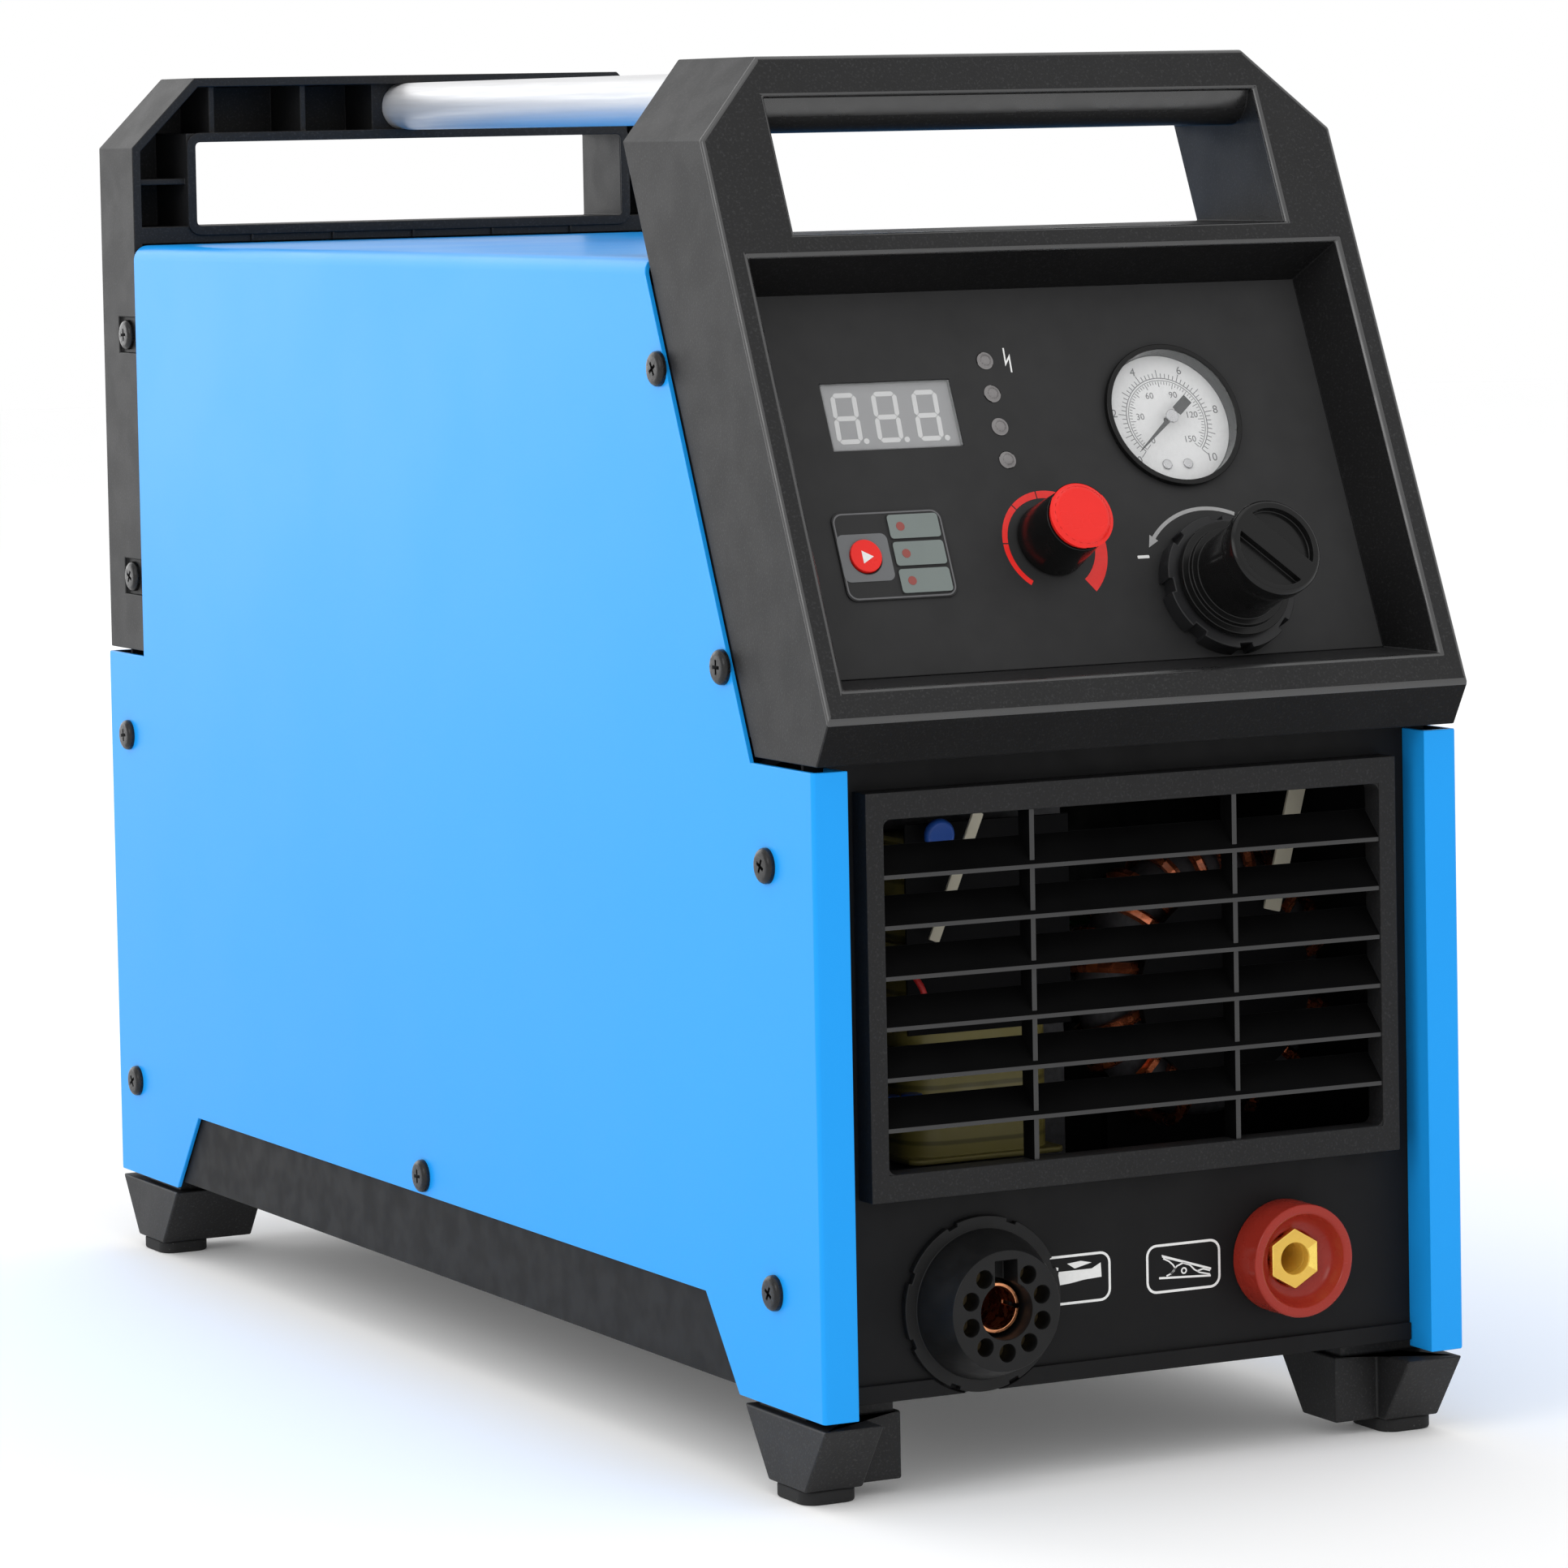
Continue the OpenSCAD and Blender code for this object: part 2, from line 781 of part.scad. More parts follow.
module bezel_outline(inset) {
    x = bezel_w / 2 - inset;
    top = bezel_top - inset;
    cut = bezel_chamfer - inset * (2 - sqrt(2));
    polygon([
        [-x, joint_z - 1], [-x, top - cut], [cut - x, top],
        [x - cut, top], [x, top - cut], [x, joint_z - 1]
    ]);
}

module front_bezel_block() {
    intersection() {
        along(-far_out, far_out) bezel_outline(0);
        across(bezel_w)
            polygon([
                [lip_y, joint_z], [-face_overhang, face_z], [face_y(bezel_top), bezel_top],
                [bezel_back_y(bezel_top), bezel_top], [bezel_back_y(joint_z), joint_z]
            ]);
    }
}

module front_bezel_cavity() {
    skin = bezel_wall / cos(lean);
    floor_z = joint_z + bezel_wall;
    top = bezel_top - bezel_wall;
    intersection() {
        along(-far_out, far_out) bezel_outline(bezel_wall);
        across(bezel_w)
            polygon([
                [lip_y + bezel_wall + 1, floor_z], [face_y(face_z + 3) + skin, face_z + 3],
                [face_y(top) + skin, top], [face_y(top) + far_out, top], [far_out, joint_z - 1],
                [panel_back_y + 8, joint_z - 1], [panel_back_y + 8, floor_z]
            ]);
    }
}

// The recess's drafted hollow, grown sideways and carried to a depth
module recess_shape(grow, depth) {
    slope = depth / recess_depth;
    s0 = recess_start - grow;
    s1 = recess_start + recess_l + grow;
    x = recess_w / 2 + grow;
    on_face(0, 0, 0) intersection() {
        across(2 * bezel_w)
            polygon([
                [s0, 1], [s0, 0], [s0 + recess_draft_low * slope, -depth],
                [s1 - recess_draft_top * slope, -depth], [s1, 0], [s1, 1]
            ]);
        along(-far_out, far_out)
            polygon([
                [-x, 1], [-x, 0], [recess_draft_x * slope - x, -depth],
                [x - recess_draft_x * slope, -depth], [x, 0], [x, 1]
            ]);
    }
}

// A block cut or filled square to the control plate, from z0 to z1
module plate_block(grow, z0, z1) {
    w = plate_w + 2 * grow;
    on_plate(0, plate_s0 - grow)
        translate([-w / 2, 0, z0]) cube([w, plate_s1 - plate_s0 + 2 * grow, z1 - z0]);
}

module tub() {
    difference() {
        union() {
            recess_shape(tub_wall, recess_depth);
            plate_block(drop_gap + tub_wall, -plate_t - tub_floor, eps);
        }
        plate_block(-plate_ledge, -plate_t - tub_floor - 1, 1);
        on_plate(reg_x, reg_s) post(reg_body_r + drop_gap, -plate_t - tub_floor - 1, 1);
    }
}

module bezel_opening(y0, y1, grow) {
    box([-opening_w / 2 - grow, y0, opening_z - grow], [opening_w / 2 + grow, y1, opening_top + grow]);
}

// The solid behind the rounded grip above the front opening, from the face back
module grip_block() {
    z1 = opening_top + grip_r;
    y1 = face_y(z1) + grip_inset + grip_r;
    across(opening_w + 2 * bezel_wall)
        polygon([
            [-far_out, opening_top], [y1, opening_top], [y1, z1 + bezel_wall], [-far_out, z1 + bezel_wall]
        ]);
}

// What is cut away in front of the rounded grip
module grip_cut() {
    z1 = opening_top + grip_r;
    y1 = face_y(z1) + grip_inset + grip_r;
    across(opening_w) difference() {
        polygon([[-far_out, opening_top - 1], [y1, opening_top - 1], [y1, z1], [-far_out, z1]]);
        translate([y1, z1]) circle(grip_r);
    }
}

module front_ribs() {
    both_sides() {
        for (x = [rib_x - rib_step, rib_x])
            box([x - rib_t / 2, 0, opening_top], [x + rib_t / 2, rib_l, bezel_top]);
        box([opening_w / 2, 0, post_rib_z], [bezel_w / 2, post_rib_l, post_rib_z + rib_t]);
    }
}

// A skirt that tucks under the cover beside the front bezel's back edge
module front_skirt() {
    z0 = joint_z + 5;
    z1 = cover_top - 8;
    x0 = pan_x - skirt_t;
    translate([x0, 0, 0])
        rotate([90, 0, 90])
            linear_extrude(skirt_t)
                polygon([
                    [bezel_back_y(z0) - 8, z0], [bezel_back_y(z0) + skirt_l, z0],
                    [bezel_back_y(z1) + skirt_l, z1], [bezel_back_y(z1) - 8, z1]
                ]);
}

module tube_boss(y0, y1) {
    x = tube_d / 2 + boss_side;
    box([-x, y0, opening_top], [x, y1, bezel_top]);
}

module handle_bore(y0, y1) {
    translate([0, y1, tube_z]) rotate([90, 0, 0]) cylinder(r = tube_d / 2 + pin_gap, h = y1 - y0);
}

module front_bezel() {
    color("#2b2b2b") difference() {
        union() {
            difference() {
                front_bezel_block();
                front_bezel_cavity();
            }
            intersection() {
                front_bezel_block();
                union() {
                    box([-half_w, -far_out, cover_top + top_gap], [half_w, far_out, opening_z]);
                    bezel_opening(-far_out, far_out, bezel_wall);
                    tube_boss(face_y(tube_z), far_out);
                    front_ribs();
                    tub();
                    grip_block();
                }
            }
            both_sides() front_skirt();
        }
        bezel_opening(-far_out, far_out, 0);
        grip_cut();
        recess_shape(0, recess_depth);
        plate_block(drop_gap, -plate_t, 1);
        handle_bore(tube_y0, far_out);
        side_holes(skirt_screws, screw_d / 2 + pin_gap);
    }
}

module rear_ribs() {
    y0 = rear_bezel_y + 2;
    y1 = cover_d - 1;
    both_sides() {
        for (x = [rib_x - rib_step, rib_x])
            box([x - rib_t / 2, y0, opening_top], [x + rib_t / 2, y1, bezel_top - 1]);
        box([opening_w / 2, y0, post_rib_z], [bezel_w / 2 - 1, y1, post_rib_z + rib_t]);
    }
}

module rear_bezel() {
    boss_y = rear_bezel_y + bezel_screw_in;
    color("#2b2b2b") difference() {
        union() {
            difference() {
                along(rear_bezel_y, cover_d) intersection() {
                    bezel_outline(0);
                    translate([-half_w, joint_z]) square([cover_w, bezel_top - joint_z]);
                }
                along(rear_bezel_y - 1, cover_d - bezel_wall) bezel_outline(bezel_wall);
            }
            intersection() {
                along(rear_bezel_y, cover_d) bezel_outline(0);
                union() {
                    box([-half_w, rear_bezel_y, cover_top + top_gap], [half_w, cover_d, opening_z]);
                    bezel_opening(rear_bezel_y, cover_d, bezel_wall);
                    rear_ribs();
                    tube_boss(rear_bezel_y + 5, cover_d);
                }
            }
            box([-bezel_w / 2, rear_panel_in_y - 8, joint_z], [bezel_w / 2, cover_d, joint_z + bezel_wall]);
            both_sides() for (p = rear_bezel_screws)
                on_side(0, p[0], p[1]) post(6, bezel_w / 2 - 12, bezel_w / 2 - 1);
        }
        bezel_opening(rear_bezel_y - 1, cover_d + 1, 0);
        handle_bore(rear_bezel_y, tube_y1);
        side_holes(rear_bezel_screws, screw_d / 2 + pin_gap);
        both_sides() for (p = rear_bezel_screws)
            box([bezel_w / 2 - screw_pocket, rear_bezel_y - 1, p[1] - 6],
                [bezel_w / 2 + 1, boss_y + 6, p[1] + 6]);
        on_rear(-switch_x, cover_d, switch_z) post(switch_bush_r + drop_gap, -5, 1);
        on_rear(-gland_x, cover_d, gland_z) post(gland_thread_r + drop_gap, -5, 1);
        on_rear(inlet_x, cover_d, inlet_z) post(inlet_thread_r + drop_gap, -5, 1);
    }
}

module handle_tube() {
    color("silver")
        translate([0, tube_y1, tube_z]) rotate([90, 0, 0])
            ring(tube_d / 2, tube_d / 2 - tube_wall, 0, tube_y1 - tube_y0);
}

// ---- Feet ----

// Draws its children for all four corners from the front right one
module foot_corners() {
    both_sides() {
        children();
        translate([0, cover_d, 0]) mirror([0, 1, 0]) children();
    }
}

module foot() {
    x1 = half_w - 0.5;
    x0 = x1 - foot_w;
    step_x = x1 - pad_w - 1;
    color("#1c1c1c") difference() {
        union() {
            translate([x0, 0, 0])
                rotate([90, 0, 90])
                    linear_extrude(foot_w)
                        polygon([
                            [0, foot_top], [foot_toe_y, pad_h], [foot_heel_y, pad_h], [foot_l, foot_top]
                        ]);
            box([x0 + 2, foot_toe_y + 4, foot_top - 1], [inside_x - 2, foot_l - 4, pan_z]);
        }
        box([x0 - 1, -1, 0], [step_x, foot_toe_y + 3.7, foot_top + 1]);
        translate([foot_screw_x, foot_screw_y, 0]) {
            post(screw_d / 2 + pin_gap, 0, pan_z + 1);
            post(screw_head_d / 2 + 0.5, 0, foot_bore_z);
        }
    }
}

module foot_front_right() {
    foot();
}

module foot_front_left() {
    mirror([1, 0, 0]) foot();
}

module foot_rear_right() {
    translate([0, cover_d, 0]) mirror([0, 1, 0]) foot();
}

module foot_rear_left() {
    mirror([1, 0, 0]) foot_rear_right();
}

module foot_pads() {
    x1 = half_w - 1;
    pad_l = foot_heel_y - foot_toe_y - 1;
    color("#101010") foot_corners()
        translate([x1 - pad_w / 2, foot_toe_y + 0.5 + pad_l / 2, 0])
            linear_extrude(pad_h) round_rect(pad_w, pad_l, 5);
}

// A pan-head screw with a cross recess, its head standing on local z = 0
module pan_screw(length) {
    difference() {
        union() {
            post(screw_d / 2, -length, eps);
            post(screw_head_d / 2, 0, screw_head_h * 0.6);
            translate([0, 0, screw_head_h * 0.6 - eps])
                cylinder(r1 = screw_head_d / 2, r2 = screw_head_d / 2 - 1.2, h = screw_head_h * 0.4);
        }
        for (a = [0, 90])
            rotate([0, 0, a])
                translate([-2.4, -0.5, screw_head_h / 2]) cube([4.8, 1, screw_head_h]);
    }
}

// The screws of the cover, of the rear bezel and of the feet
module case_screws() {
    color("#151515") {
        both_sides() {
            for (p = cover_screw_points) on_side(half_w, p[0], p[1]) pan_screw(screw_l);
            for (p = rear_bezel_screws)
                on_side(bezel_w / 2 - screw_pocket, p[0], p[1]) pan_screw(screw_l);
        }
        foot_corners()
            translate([foot_screw_x, foot_screw_y, foot_bore_z]) rotate([180, 0, 0])
                pan_screw(pan_top + 5 - foot_bore_z);
    }
}

// ---- Front grille ----

module grille() {
    inner_w = grille_w - 2 * grille_side;
    inner_z = grille_z + grille_rail;
    inner_top = grille_z + grille_h - grille_rail;
    pitch = (inner_top - inner_z) / (slat_n + 1);
    front_y = panel_y - grille_t;
    slat_y = front_y + 0.5;
    color("#333333") {
        difference() {
            box([-grille_w / 2, front_y, grille_z], [grille_w / 2, panel_y, grille_z + grille_h]);
            box([-inner_w / 2, front_y - 1, inner_z], [inner_w / 2, panel_y + 1, inner_top]);
        }
        for (i = [0:slat_n - 1]) {
            z = inner_z + pitch * (i + 0.86);
            across(inner_w + eps)
                polygon([
                    [slat_y, z - slat_edge / 2], [slat_y, z + slat_edge / 2],
                    [slat_y + slat_rise, z + slat_edge / 2 + slat_rise],
                    [slat_y + slat_rise, z - slat_edge / 2 + slat_rise]
                ]);
        }
        both_sides()
            box([upright_x - upright_w / 2, slat_y + 1, inner_z - eps],
                [upright_x + upright_w / 2, panel_y, inner_top + eps]);
    }
}

// ---- Sockets ----

module contact_places() {
    step = 360 / contact_slots;
    for (i = [1:contact_slots - 1])
        rotate([0, 0, 90 + i * step]) translate([contact_ring_r, 0, 0]) children();
}

module torch_socket_body() {
    color("#242424") on_front(-torch_x, torch_z) difference() {
        union() {
            post(torch_flange_r, 0, torch_flange_t);
            post(torch_nose_r, 0, torch_nose_z);
            translate([0, 0, torch_nose_z - eps])
                cylinder(r1 = torch_nose_r, r2 = torch_face_r, h = torch_l - torch_nose_z);
            post(torch_barrel_r, -torch_barrel_l, eps);
        }
        post(torch_bore_r, torch_nose_z, torch_l + 1);
        post(gas_tube_r + pin_gap, -torch_barrel_l - 1, torch_l);
        contact_places() post(contact_hole_d / 2, -torch_barrel_l - 1, torch_l + 1);
        translate([-3.5, 0, torch_l - 8]) cube([7, 14, 9]);
        for (a = [0:45:315])
            rotate([0, 0, a + 22.5]) translate([torch_flange_r - 1, -1.5, -1])
                cube([3, 3, torch_flange_t + 2]);
    }
}

module torch_contacts() {
    color("goldenrod") on_front(-torch_x, torch_z) contact_places()
        ring(contact_hole_d / 2 - run_gap, 1.4, -torch_barrel_l - 6, torch_l - contact_recess);
}

module torch_gas_tube() {
    top = torch_l - gas_tube_recess;
    color("#b87333") on_front(-torch_x, torch_z) difference() {
        ring(gas_tube_r, gas_tube_bore / 2, -gas_tube_end, top);
        translate([-gas_tube_r - 1, -0.6, top - 8]) cube([2 * gas_tube_r + 2, 1.2, 9]);
    }
}

module work_socket_insulator() {
    color("#8f2a22") on_front(work_x, work_z) difference() {
        union() {
            post(work_r, 0, work_l);
            post(work_barrel_r, -work_barrel_l, eps);
        }
        post(work_r - work_lip, work_floor, work_l + 1);
        post(insert_r + pin_gap, -work_barrel_l - 1, work_l);
    }
}

module work_socket_insert() {
    color("#c9a227") on_front(work_x, work_z) difference() {
        union() {
            translate([0, 0, work_floor]) cylinder(r = hex_r, h = 3, $fn = 6);
            post(insert_r, -insert_end, work_floor + eps);
        }
        post(work_bore / 2, 8 - insert_end, work_l);
    }
}

module socket_nuts() {
    color("#303030") {
        on_front(-torch_x, torch_z)
            ring(torch_barrel_r + nut_wall, torch_barrel_r + pin_gap, -sheet_t - nut_t, -sheet_t);
        on_front(work_x, work_z) difference() {
            translate([0, 0, -sheet_t - nut_t]) cylinder(r = work_barrel_r + 4.5, h = nut_t, $fn = 6);
            post(work_barrel_r + pin_gap, -20, 5);
        }
    }
}

// ---- Controls ----

module control_plate() {
    color("#303030") difference() {
        plate_block(0, -plate_t, 0);
        on_plate(display_x, display_s)
            translate([0, 0, -plate_t - 1]) linear_extrude(plate_t + 2)
                square([window_w + 2 * drop_gap, window_l + 2 * drop_gap], center = true);
        for (s = led_s) on_plate(led_x, s) post(led_d / 2 + pin_gap, -5, 5);
        on_plate(button_x, button_s) post(button_d / 2, -5, 5);
        on_plate(-current_x, current_s) post(bush_r + pin_gap, -5, 5);
        on_plate(gauge_x, gauge_s) post(gauge_body_r + drop_gap, -5, 5);
        on_plate(reg_x, reg_s) post(reg_neck_r + drop_gap, -5, 5);
    }
}

module control_board() {
    s0 = plate_s0 + plate_ledge + 1;
    s1 = plate_s1 - plate_ledge - 1;
    w = plate_w - 2 * plate_ledge - 2;
    color("darkgreen") difference() {
        on_plate(0, s0) translate([-w / 2, 0, -board_drop - board_t]) cube([w, s1 - s0, board_t]);
        on_plate(gauge_x, gauge_s) post(gauge_body_r + 2, -50, 5);
        on_plate(reg_x, reg_s) post(reg_body_r + 2, -50, 5);
    }
    color("#303030") on_plate(button_x, button_s)
        translate([-3, -3, -board_drop - eps])
            cube([6, 6, board_drop - plate_t - 3 - button_travel - move_gap]);
}

module board_spacers() {
    color("gold") for (x = [-1, 1], s = spacer_s)
        on_plate(x * spacer_x, s) post(spacer_d / 2, -board_drop, -plate_t);
}

module display_module() {
    color("dimgray") on_plate(display_x, display_s) {
        translate([0, 0, -housing_t]) linear_extrude(housing_t - plate_t)
            square([window_w + 2 * housing_rim, window_l + 2 * housing_rim], center = true);
        translate([0, 0, -plate_t - eps]) linear_extrude(face_rise_in + eps)
            square([window_w, window_l], center = true);
        for (x = [-1, 1]) translate([x * window_w / 3, 0, 0]) post(1, -board_drop, eps - housing_t);
    }
}

module display_window() {
    color("gray", 0.4) on_plate(display_x, display_s)
        translate([0, 0, face_rise_in - plate_t]) linear_extrude(plate_t - face_rise_in)
            square([window_w, window_l], center = true);
}

module status_leds() {
    color("lightgray") for (s = led_s)
        on_plate(led_x, s) {
            post(led_d / 2, -plate_t - 4, 0.2);
            translate([0, 0, 0.2 - eps]) cylinder(r1 = led_d / 2, r2 = led_d / 2 - 0.8, h = 0.8);
            post(led_d / 2 + 0.8, -plate_t - 4, -plate_t);
            post(0.5, -board_drop, -plate_t - 3.9);
        }
}

module mode_window_places() {
    for (i = [-1:1]) on_plate(mode_x, keypad_s + mode_pitch * i) children();
}

// The keypad's frame with its three raised windows
module keypad_frame() {
    color("#3a3a3a") {
        difference() {
            on_plate(keypad_x, keypad_s) linear_extrude(keypad_t) round_rect(keypad_w, keypad_l, 3);
            on_plate(button_x, button_s) post(button_d / 2, -1, 2);
        }
        mode_window_places() translate([0, 0, keypad_t - eps])
            linear_extrude(0.4 + eps) square([mode_w, mode_l], center = true);
    }
}

module mode_button() {
    color("red") on_plate(button_x, button_s) {
        post(button_d / 2 - drop_gap, -plate_t - move_gap - 1, 1.4);
        post(button_d / 2 + 1, -plate_t - move_gap - 2, -plate_t - move_gap);
        post(1.5, -plate_t - 3, -plate_t - move_gap - 1.9);
    }
}

module current_knob() {
    top = current_h - knob_cap_t;
    color("#1b1b1b") on_plate(-current_x, current_s) difference() {
        translate([0, 0, knob_gap])
            cylinder(r1 = current_skirt_d / 2, r2 = current_cap_d / 2 + 0.4, h = top - knob_gap);
        post(bush_r + 1.5, 0, 6.5);
        post(shaft_d / 2 + run_gap, 0, shaft_top);
    }
}

module current_knob_cap() {
    color("red") on_plate(-current_x, current_s) {
        post(current_cap_d / 2, current_h - knob_cap_t, current_h - 1);
        translate([0, 0, current_h - 1 - eps])
            cylinder(r1 = current_cap_d / 2, r2 = current_cap_d / 2 - 1, h = 1 + eps);
    }
}

module potentiometer_body() {
    color("silver") on_plate(-current_x, current_s) difference() {
        union() {
            post(8, -plate_t - pot_l, -plate_t);
            post(bush_r, -plate_t - eps, 5.5);
            translate([0, 0, -board_drop]) cylinder(r = 3, h = board_drop - plate_t - pot_l + eps);
        }
        post(shaft_d / 2 + run_gap, 1 - plate_t - pot_l, 10);
    }
}

module potentiometer_shaft() {
    color("lightgray") on_plate(-current_x, current_s)
        post(shaft_d / 2, 1.2 - plate_t - pot_l, shaft_top);
}

// ---- Gauge ----

module gauge_case() {
    color("#202020") on_plate(gauge_x, gauge_s) difference() {
        union() {
            post(gauge_r + gauge_rim_w, 0, gauge_rim_h);
            post(gauge_body_r, -gauge_case_l, eps);
            post(5, -gauge_case_l - 8, eps - gauge_case_l);
        }
        post(gauge_r, dial_top - dial_t, gauge_rim_h + 1);
        post(0.7 + run_gap, -10, 5);
    }
}

module gauge_dial() {
    color("white") on_plate(gauge_x, gauge_s)
        ring(gauge_r - pin_gap, 1, dial_top - dial_t, dial_top);
}

module gauge_needle() {
    color("black") on_plate(gauge_x, gauge_s) {
        rotate([0, 0, 218.5])
            translate([-6, -0.5, needle_z]) cube([gauge_r - 1.9 + 3, 1, needle_t]);
        post(2.2, needle_z, needle_z + 0.8);
        post(0.7, -9.5, needle_z + eps);
    }
}

module gauge_lens() {
    color("white", 0.3) on_plate(gauge_x, gauge_s)
        post(gauge_r - pin_gap, gauge_rim_h - 1.2, gauge_rim_h - 0.2);
}

// ---- Air ----

module regulator_body() {
    color("#555555") on_plate(reg_x, reg_s) difference() {
        union() {
            post(reg_neck_r, -plate_t - eps, reg_nut_h);
            post(reg_body_r, -reg_body_l, -plate_t);
        }
        post(reg_spindle_r + run_gap, -20, 10);
    }
}

module regulator_nut() {
    color("#1f1f1f") on_plate(reg_x, reg_s) difference() {
        post(reg_nut_r, 0, reg_nut_h);
        post(reg_neck_r + pin_gap, -1, reg_nut_h + 1);
        for (a = [0:45:315])
            rotate([0, 0, a]) translate([reg_nut_r - 1.5, -2, -1]) cube([4, 4, reg_nut_h + 2]);
    }
}

module regulator_spindle() {
    color("silver") on_plate(reg_x, reg_s) post(reg_spindle_r, move_gap - 20, reg_h - 8 - reg_pull);
}

// The recess beside the knob's diagonal bar
module knob_pocket() {
    difference() {
        post(reg_top_r - reg_edge - reg_rim_w, reg_h - reg_bar_h, reg_h + 1);
        rotate([0, 0, 45]) translate([0, -reg_bar_w / 2, 0])
            box([-reg_top_r, 0, 0], [reg_top_r, reg_bar_w, reg_h + 2]);
    }
}

module regulator_knob() {
    skirt = reg_nut_h + move_gap;
    collar = skirt + reg_skirt_h;
    grip = collar + reg_collar_h;
    top = reg_h - reg_top_h;
    color("#1d1d1d") on_plate(reg_x, reg_s) difference() {
        rotate_extrude() polygon([
            [0, skirt], [reg_skirt_r, skirt], [reg_skirt_r, collar], [reg_collar_r, collar],
            [reg_collar_r, grip], [reg_grip_r, grip], [reg_grip_r, top - reg_flare_l],
            [reg_top_r, top], [reg_top_r, reg_h - reg_edge], [reg_top_r - reg_edge, reg_h],
            [0, reg_h]
        ]);
        knob_pocket();
        post(reg_spindle_r + run_gap, 0, reg_h - 6);
    }
}

module air_inlet_fitting() {
    color("#c9a227") on_rear(inlet_x, cover_d, inlet_z) difference() {
        union() {
            post(inlet_thread_r, -bezel_wall - 17, eps);
            cylinder(r = 12.7, h = 8, $fn = 6);
            post(6, 0, inlet_l);
            post(7, inlet_l - 6, inlet_l - 3);
            translate([0, 0, -bezel_wall - 4]) cylinder(r = 12.7, h = 4, $fn = 6);
        }
        post(inlet_bore / 2, -bezel_wall - 18, inlet_l + 1);
    }
}

module solenoid_valve() {
    color("#8c8c8c") difference() {
        union() {
            box([inlet_x - valve_size / 2, valve_y - valve_l, inlet_z - valve_size / 2],
                [inlet_x + valve_size / 2, valve_y, coil_z0]);
            translate([inlet_x, valve_y - valve_l / 2, 0]) post(13, coil_z0 - eps, coil_z0 + coil_h);
        }
        translate([inlet_x, valve_y - valve_l / 2, 0])
            post(plunger_r + run_gap, coil_z0, coil_z0 + plunger_l + plunger_stroke + move_gap);
    }
}

module solenoid_plunger() {
    color("silver") translate([inlet_x, valve_y - valve_l / 2, 0])
        post(plunger_r, coil_z0 + 0.3, coil_z0 + plunger_l);
}

// Hoses: each route runs straight out of its port, then bends to the next
function plate_point(x, s, z) = [
    x,
    s * sin(lean) + (recess_depth - z) * cos(lean) - face_overhang,
    face_z + s * cos(lean) - (recess_depth - z) * sin(lean)
];
reg_out = [0, cos(lean), -sin(lean)];
inlet_port = plate_point(reg_x + port_x, reg_s, -reg_body_l);
outlet_port = plate_point(reg_x - port_x, reg_s, -reg_body_l);
valve_port = [inlet_x, valve_y - valve_l, inlet_z];
torch_port = [-torch_x, panel_y + gas_tube_end, torch_z];
hose_rings = 14;
drop_point = [-84, 112, 150];

function hose_curve(a, da, b, db, reach) = concat(
    [a],
    [
        for (i = [0:hose_rings])
            bezier(a + hose_d * da, a + (hose_d + reach) * da, b + (hose_d + reach) * db,
                b + hose_d * db, i / hose_rings)
    ],
    [b]
);

module air_hoses() {
    down = [0, 0, -1];
    first = hose_curve(outlet_port, reg_out, drop_point, -down, 60);
    second = hose_curve(drop_point, down, torch_port, [0, 1, 0], 50);
    color("#2a2a2a") {
        swept_tube(hose_curve(valve_port, [0, -1, 0], inlet_port, reg_out, 90), hose_d / 2, 8, [1, 0, 0]);
        swept_tube(concat(first, [for (i = [1:len(second) - 1]) second[i]]), hose_d / 2, 8, [1, 0, 0]);
    }
}

// ---- Power parts ----

module heat_sink() {
    n = floor((sink_w / 2 - 2) / fin_pitch);
    color("#5a5a5a") {
        box([-sink_w / 2, sink_y, sink_top - sink_base], [sink_w / 2, sink_y + sink_l, sink_top]);
        for (i = [-n:n])
            box([i * fin_pitch - fin_t / 2, sink_y, sink_z],
                [i * fin_pitch + fin_t / 2, sink_y + sink_l, sink_top - sink_base + eps]);
        for (side = [-1, 1], y = sink_posts)
            translate([side * sink_post_x, y, sink_z])
                box([-sink_pad_r, -sink_pad_r, 0], [sink_pad_r, sink_pad_r, sink_pad_h]);
    }
}

module power_modules() {
    color("#1a1a1a") for (i = [0:2]) {
        y = sink_y + sink_l * (0.2 + 0.3 * i);
        box([-module_w / 2, y - module_l / 2, sink_top],
            [module_w / 2, y + module_l / 2, sink_top + module_h]);
        for (dy = [-1, 0, 1])
            translate([0, y + dy * terminal_pitch, 0]) post(terminal_r, sink_top + module_h - eps, board_z);
    }
}

module power_board() {
    color("darkgreen") difference() {
        box([-board_w / 2, sink_y, board_z], [board_w / 2, sink_y + sink_l, board_z + board_t]);
        for (side = [-1, 1], y = board_posts)
            translate([side * board_post_x, y, 0]) post(screw_d / 2, board_z - 1, board_z + 5);
    }
}

module capacitors() {
    color("#23406e") for (side = [-1, 1], i = [0:2])
        translate([side * (cap_d / 2 + 8), sink_y + sink_l * (0.25 + 0.25 * i), 0])
            post(cap_d / 2, board_z + board_t, board_z + board_t + cap_h);
}

module insulating_posts() {
    color("ivory") {
        for (side = [-1, 1], y = sink_posts)
            translate([side * sink_post_x, y, 0]) post(post_r, pan_top, sink_z);
        for (side = [-1, 1], y = board_posts)
            translate([side * board_post_x, y, 0]) post(post_r, sink_top, board_z);
        for (side = [-1, 1])
            translate([side * (core_w / 2 - post_r) - transformer_x, transformer_y, 0])
                post(post_r, pan_top, core_z);
    }
}

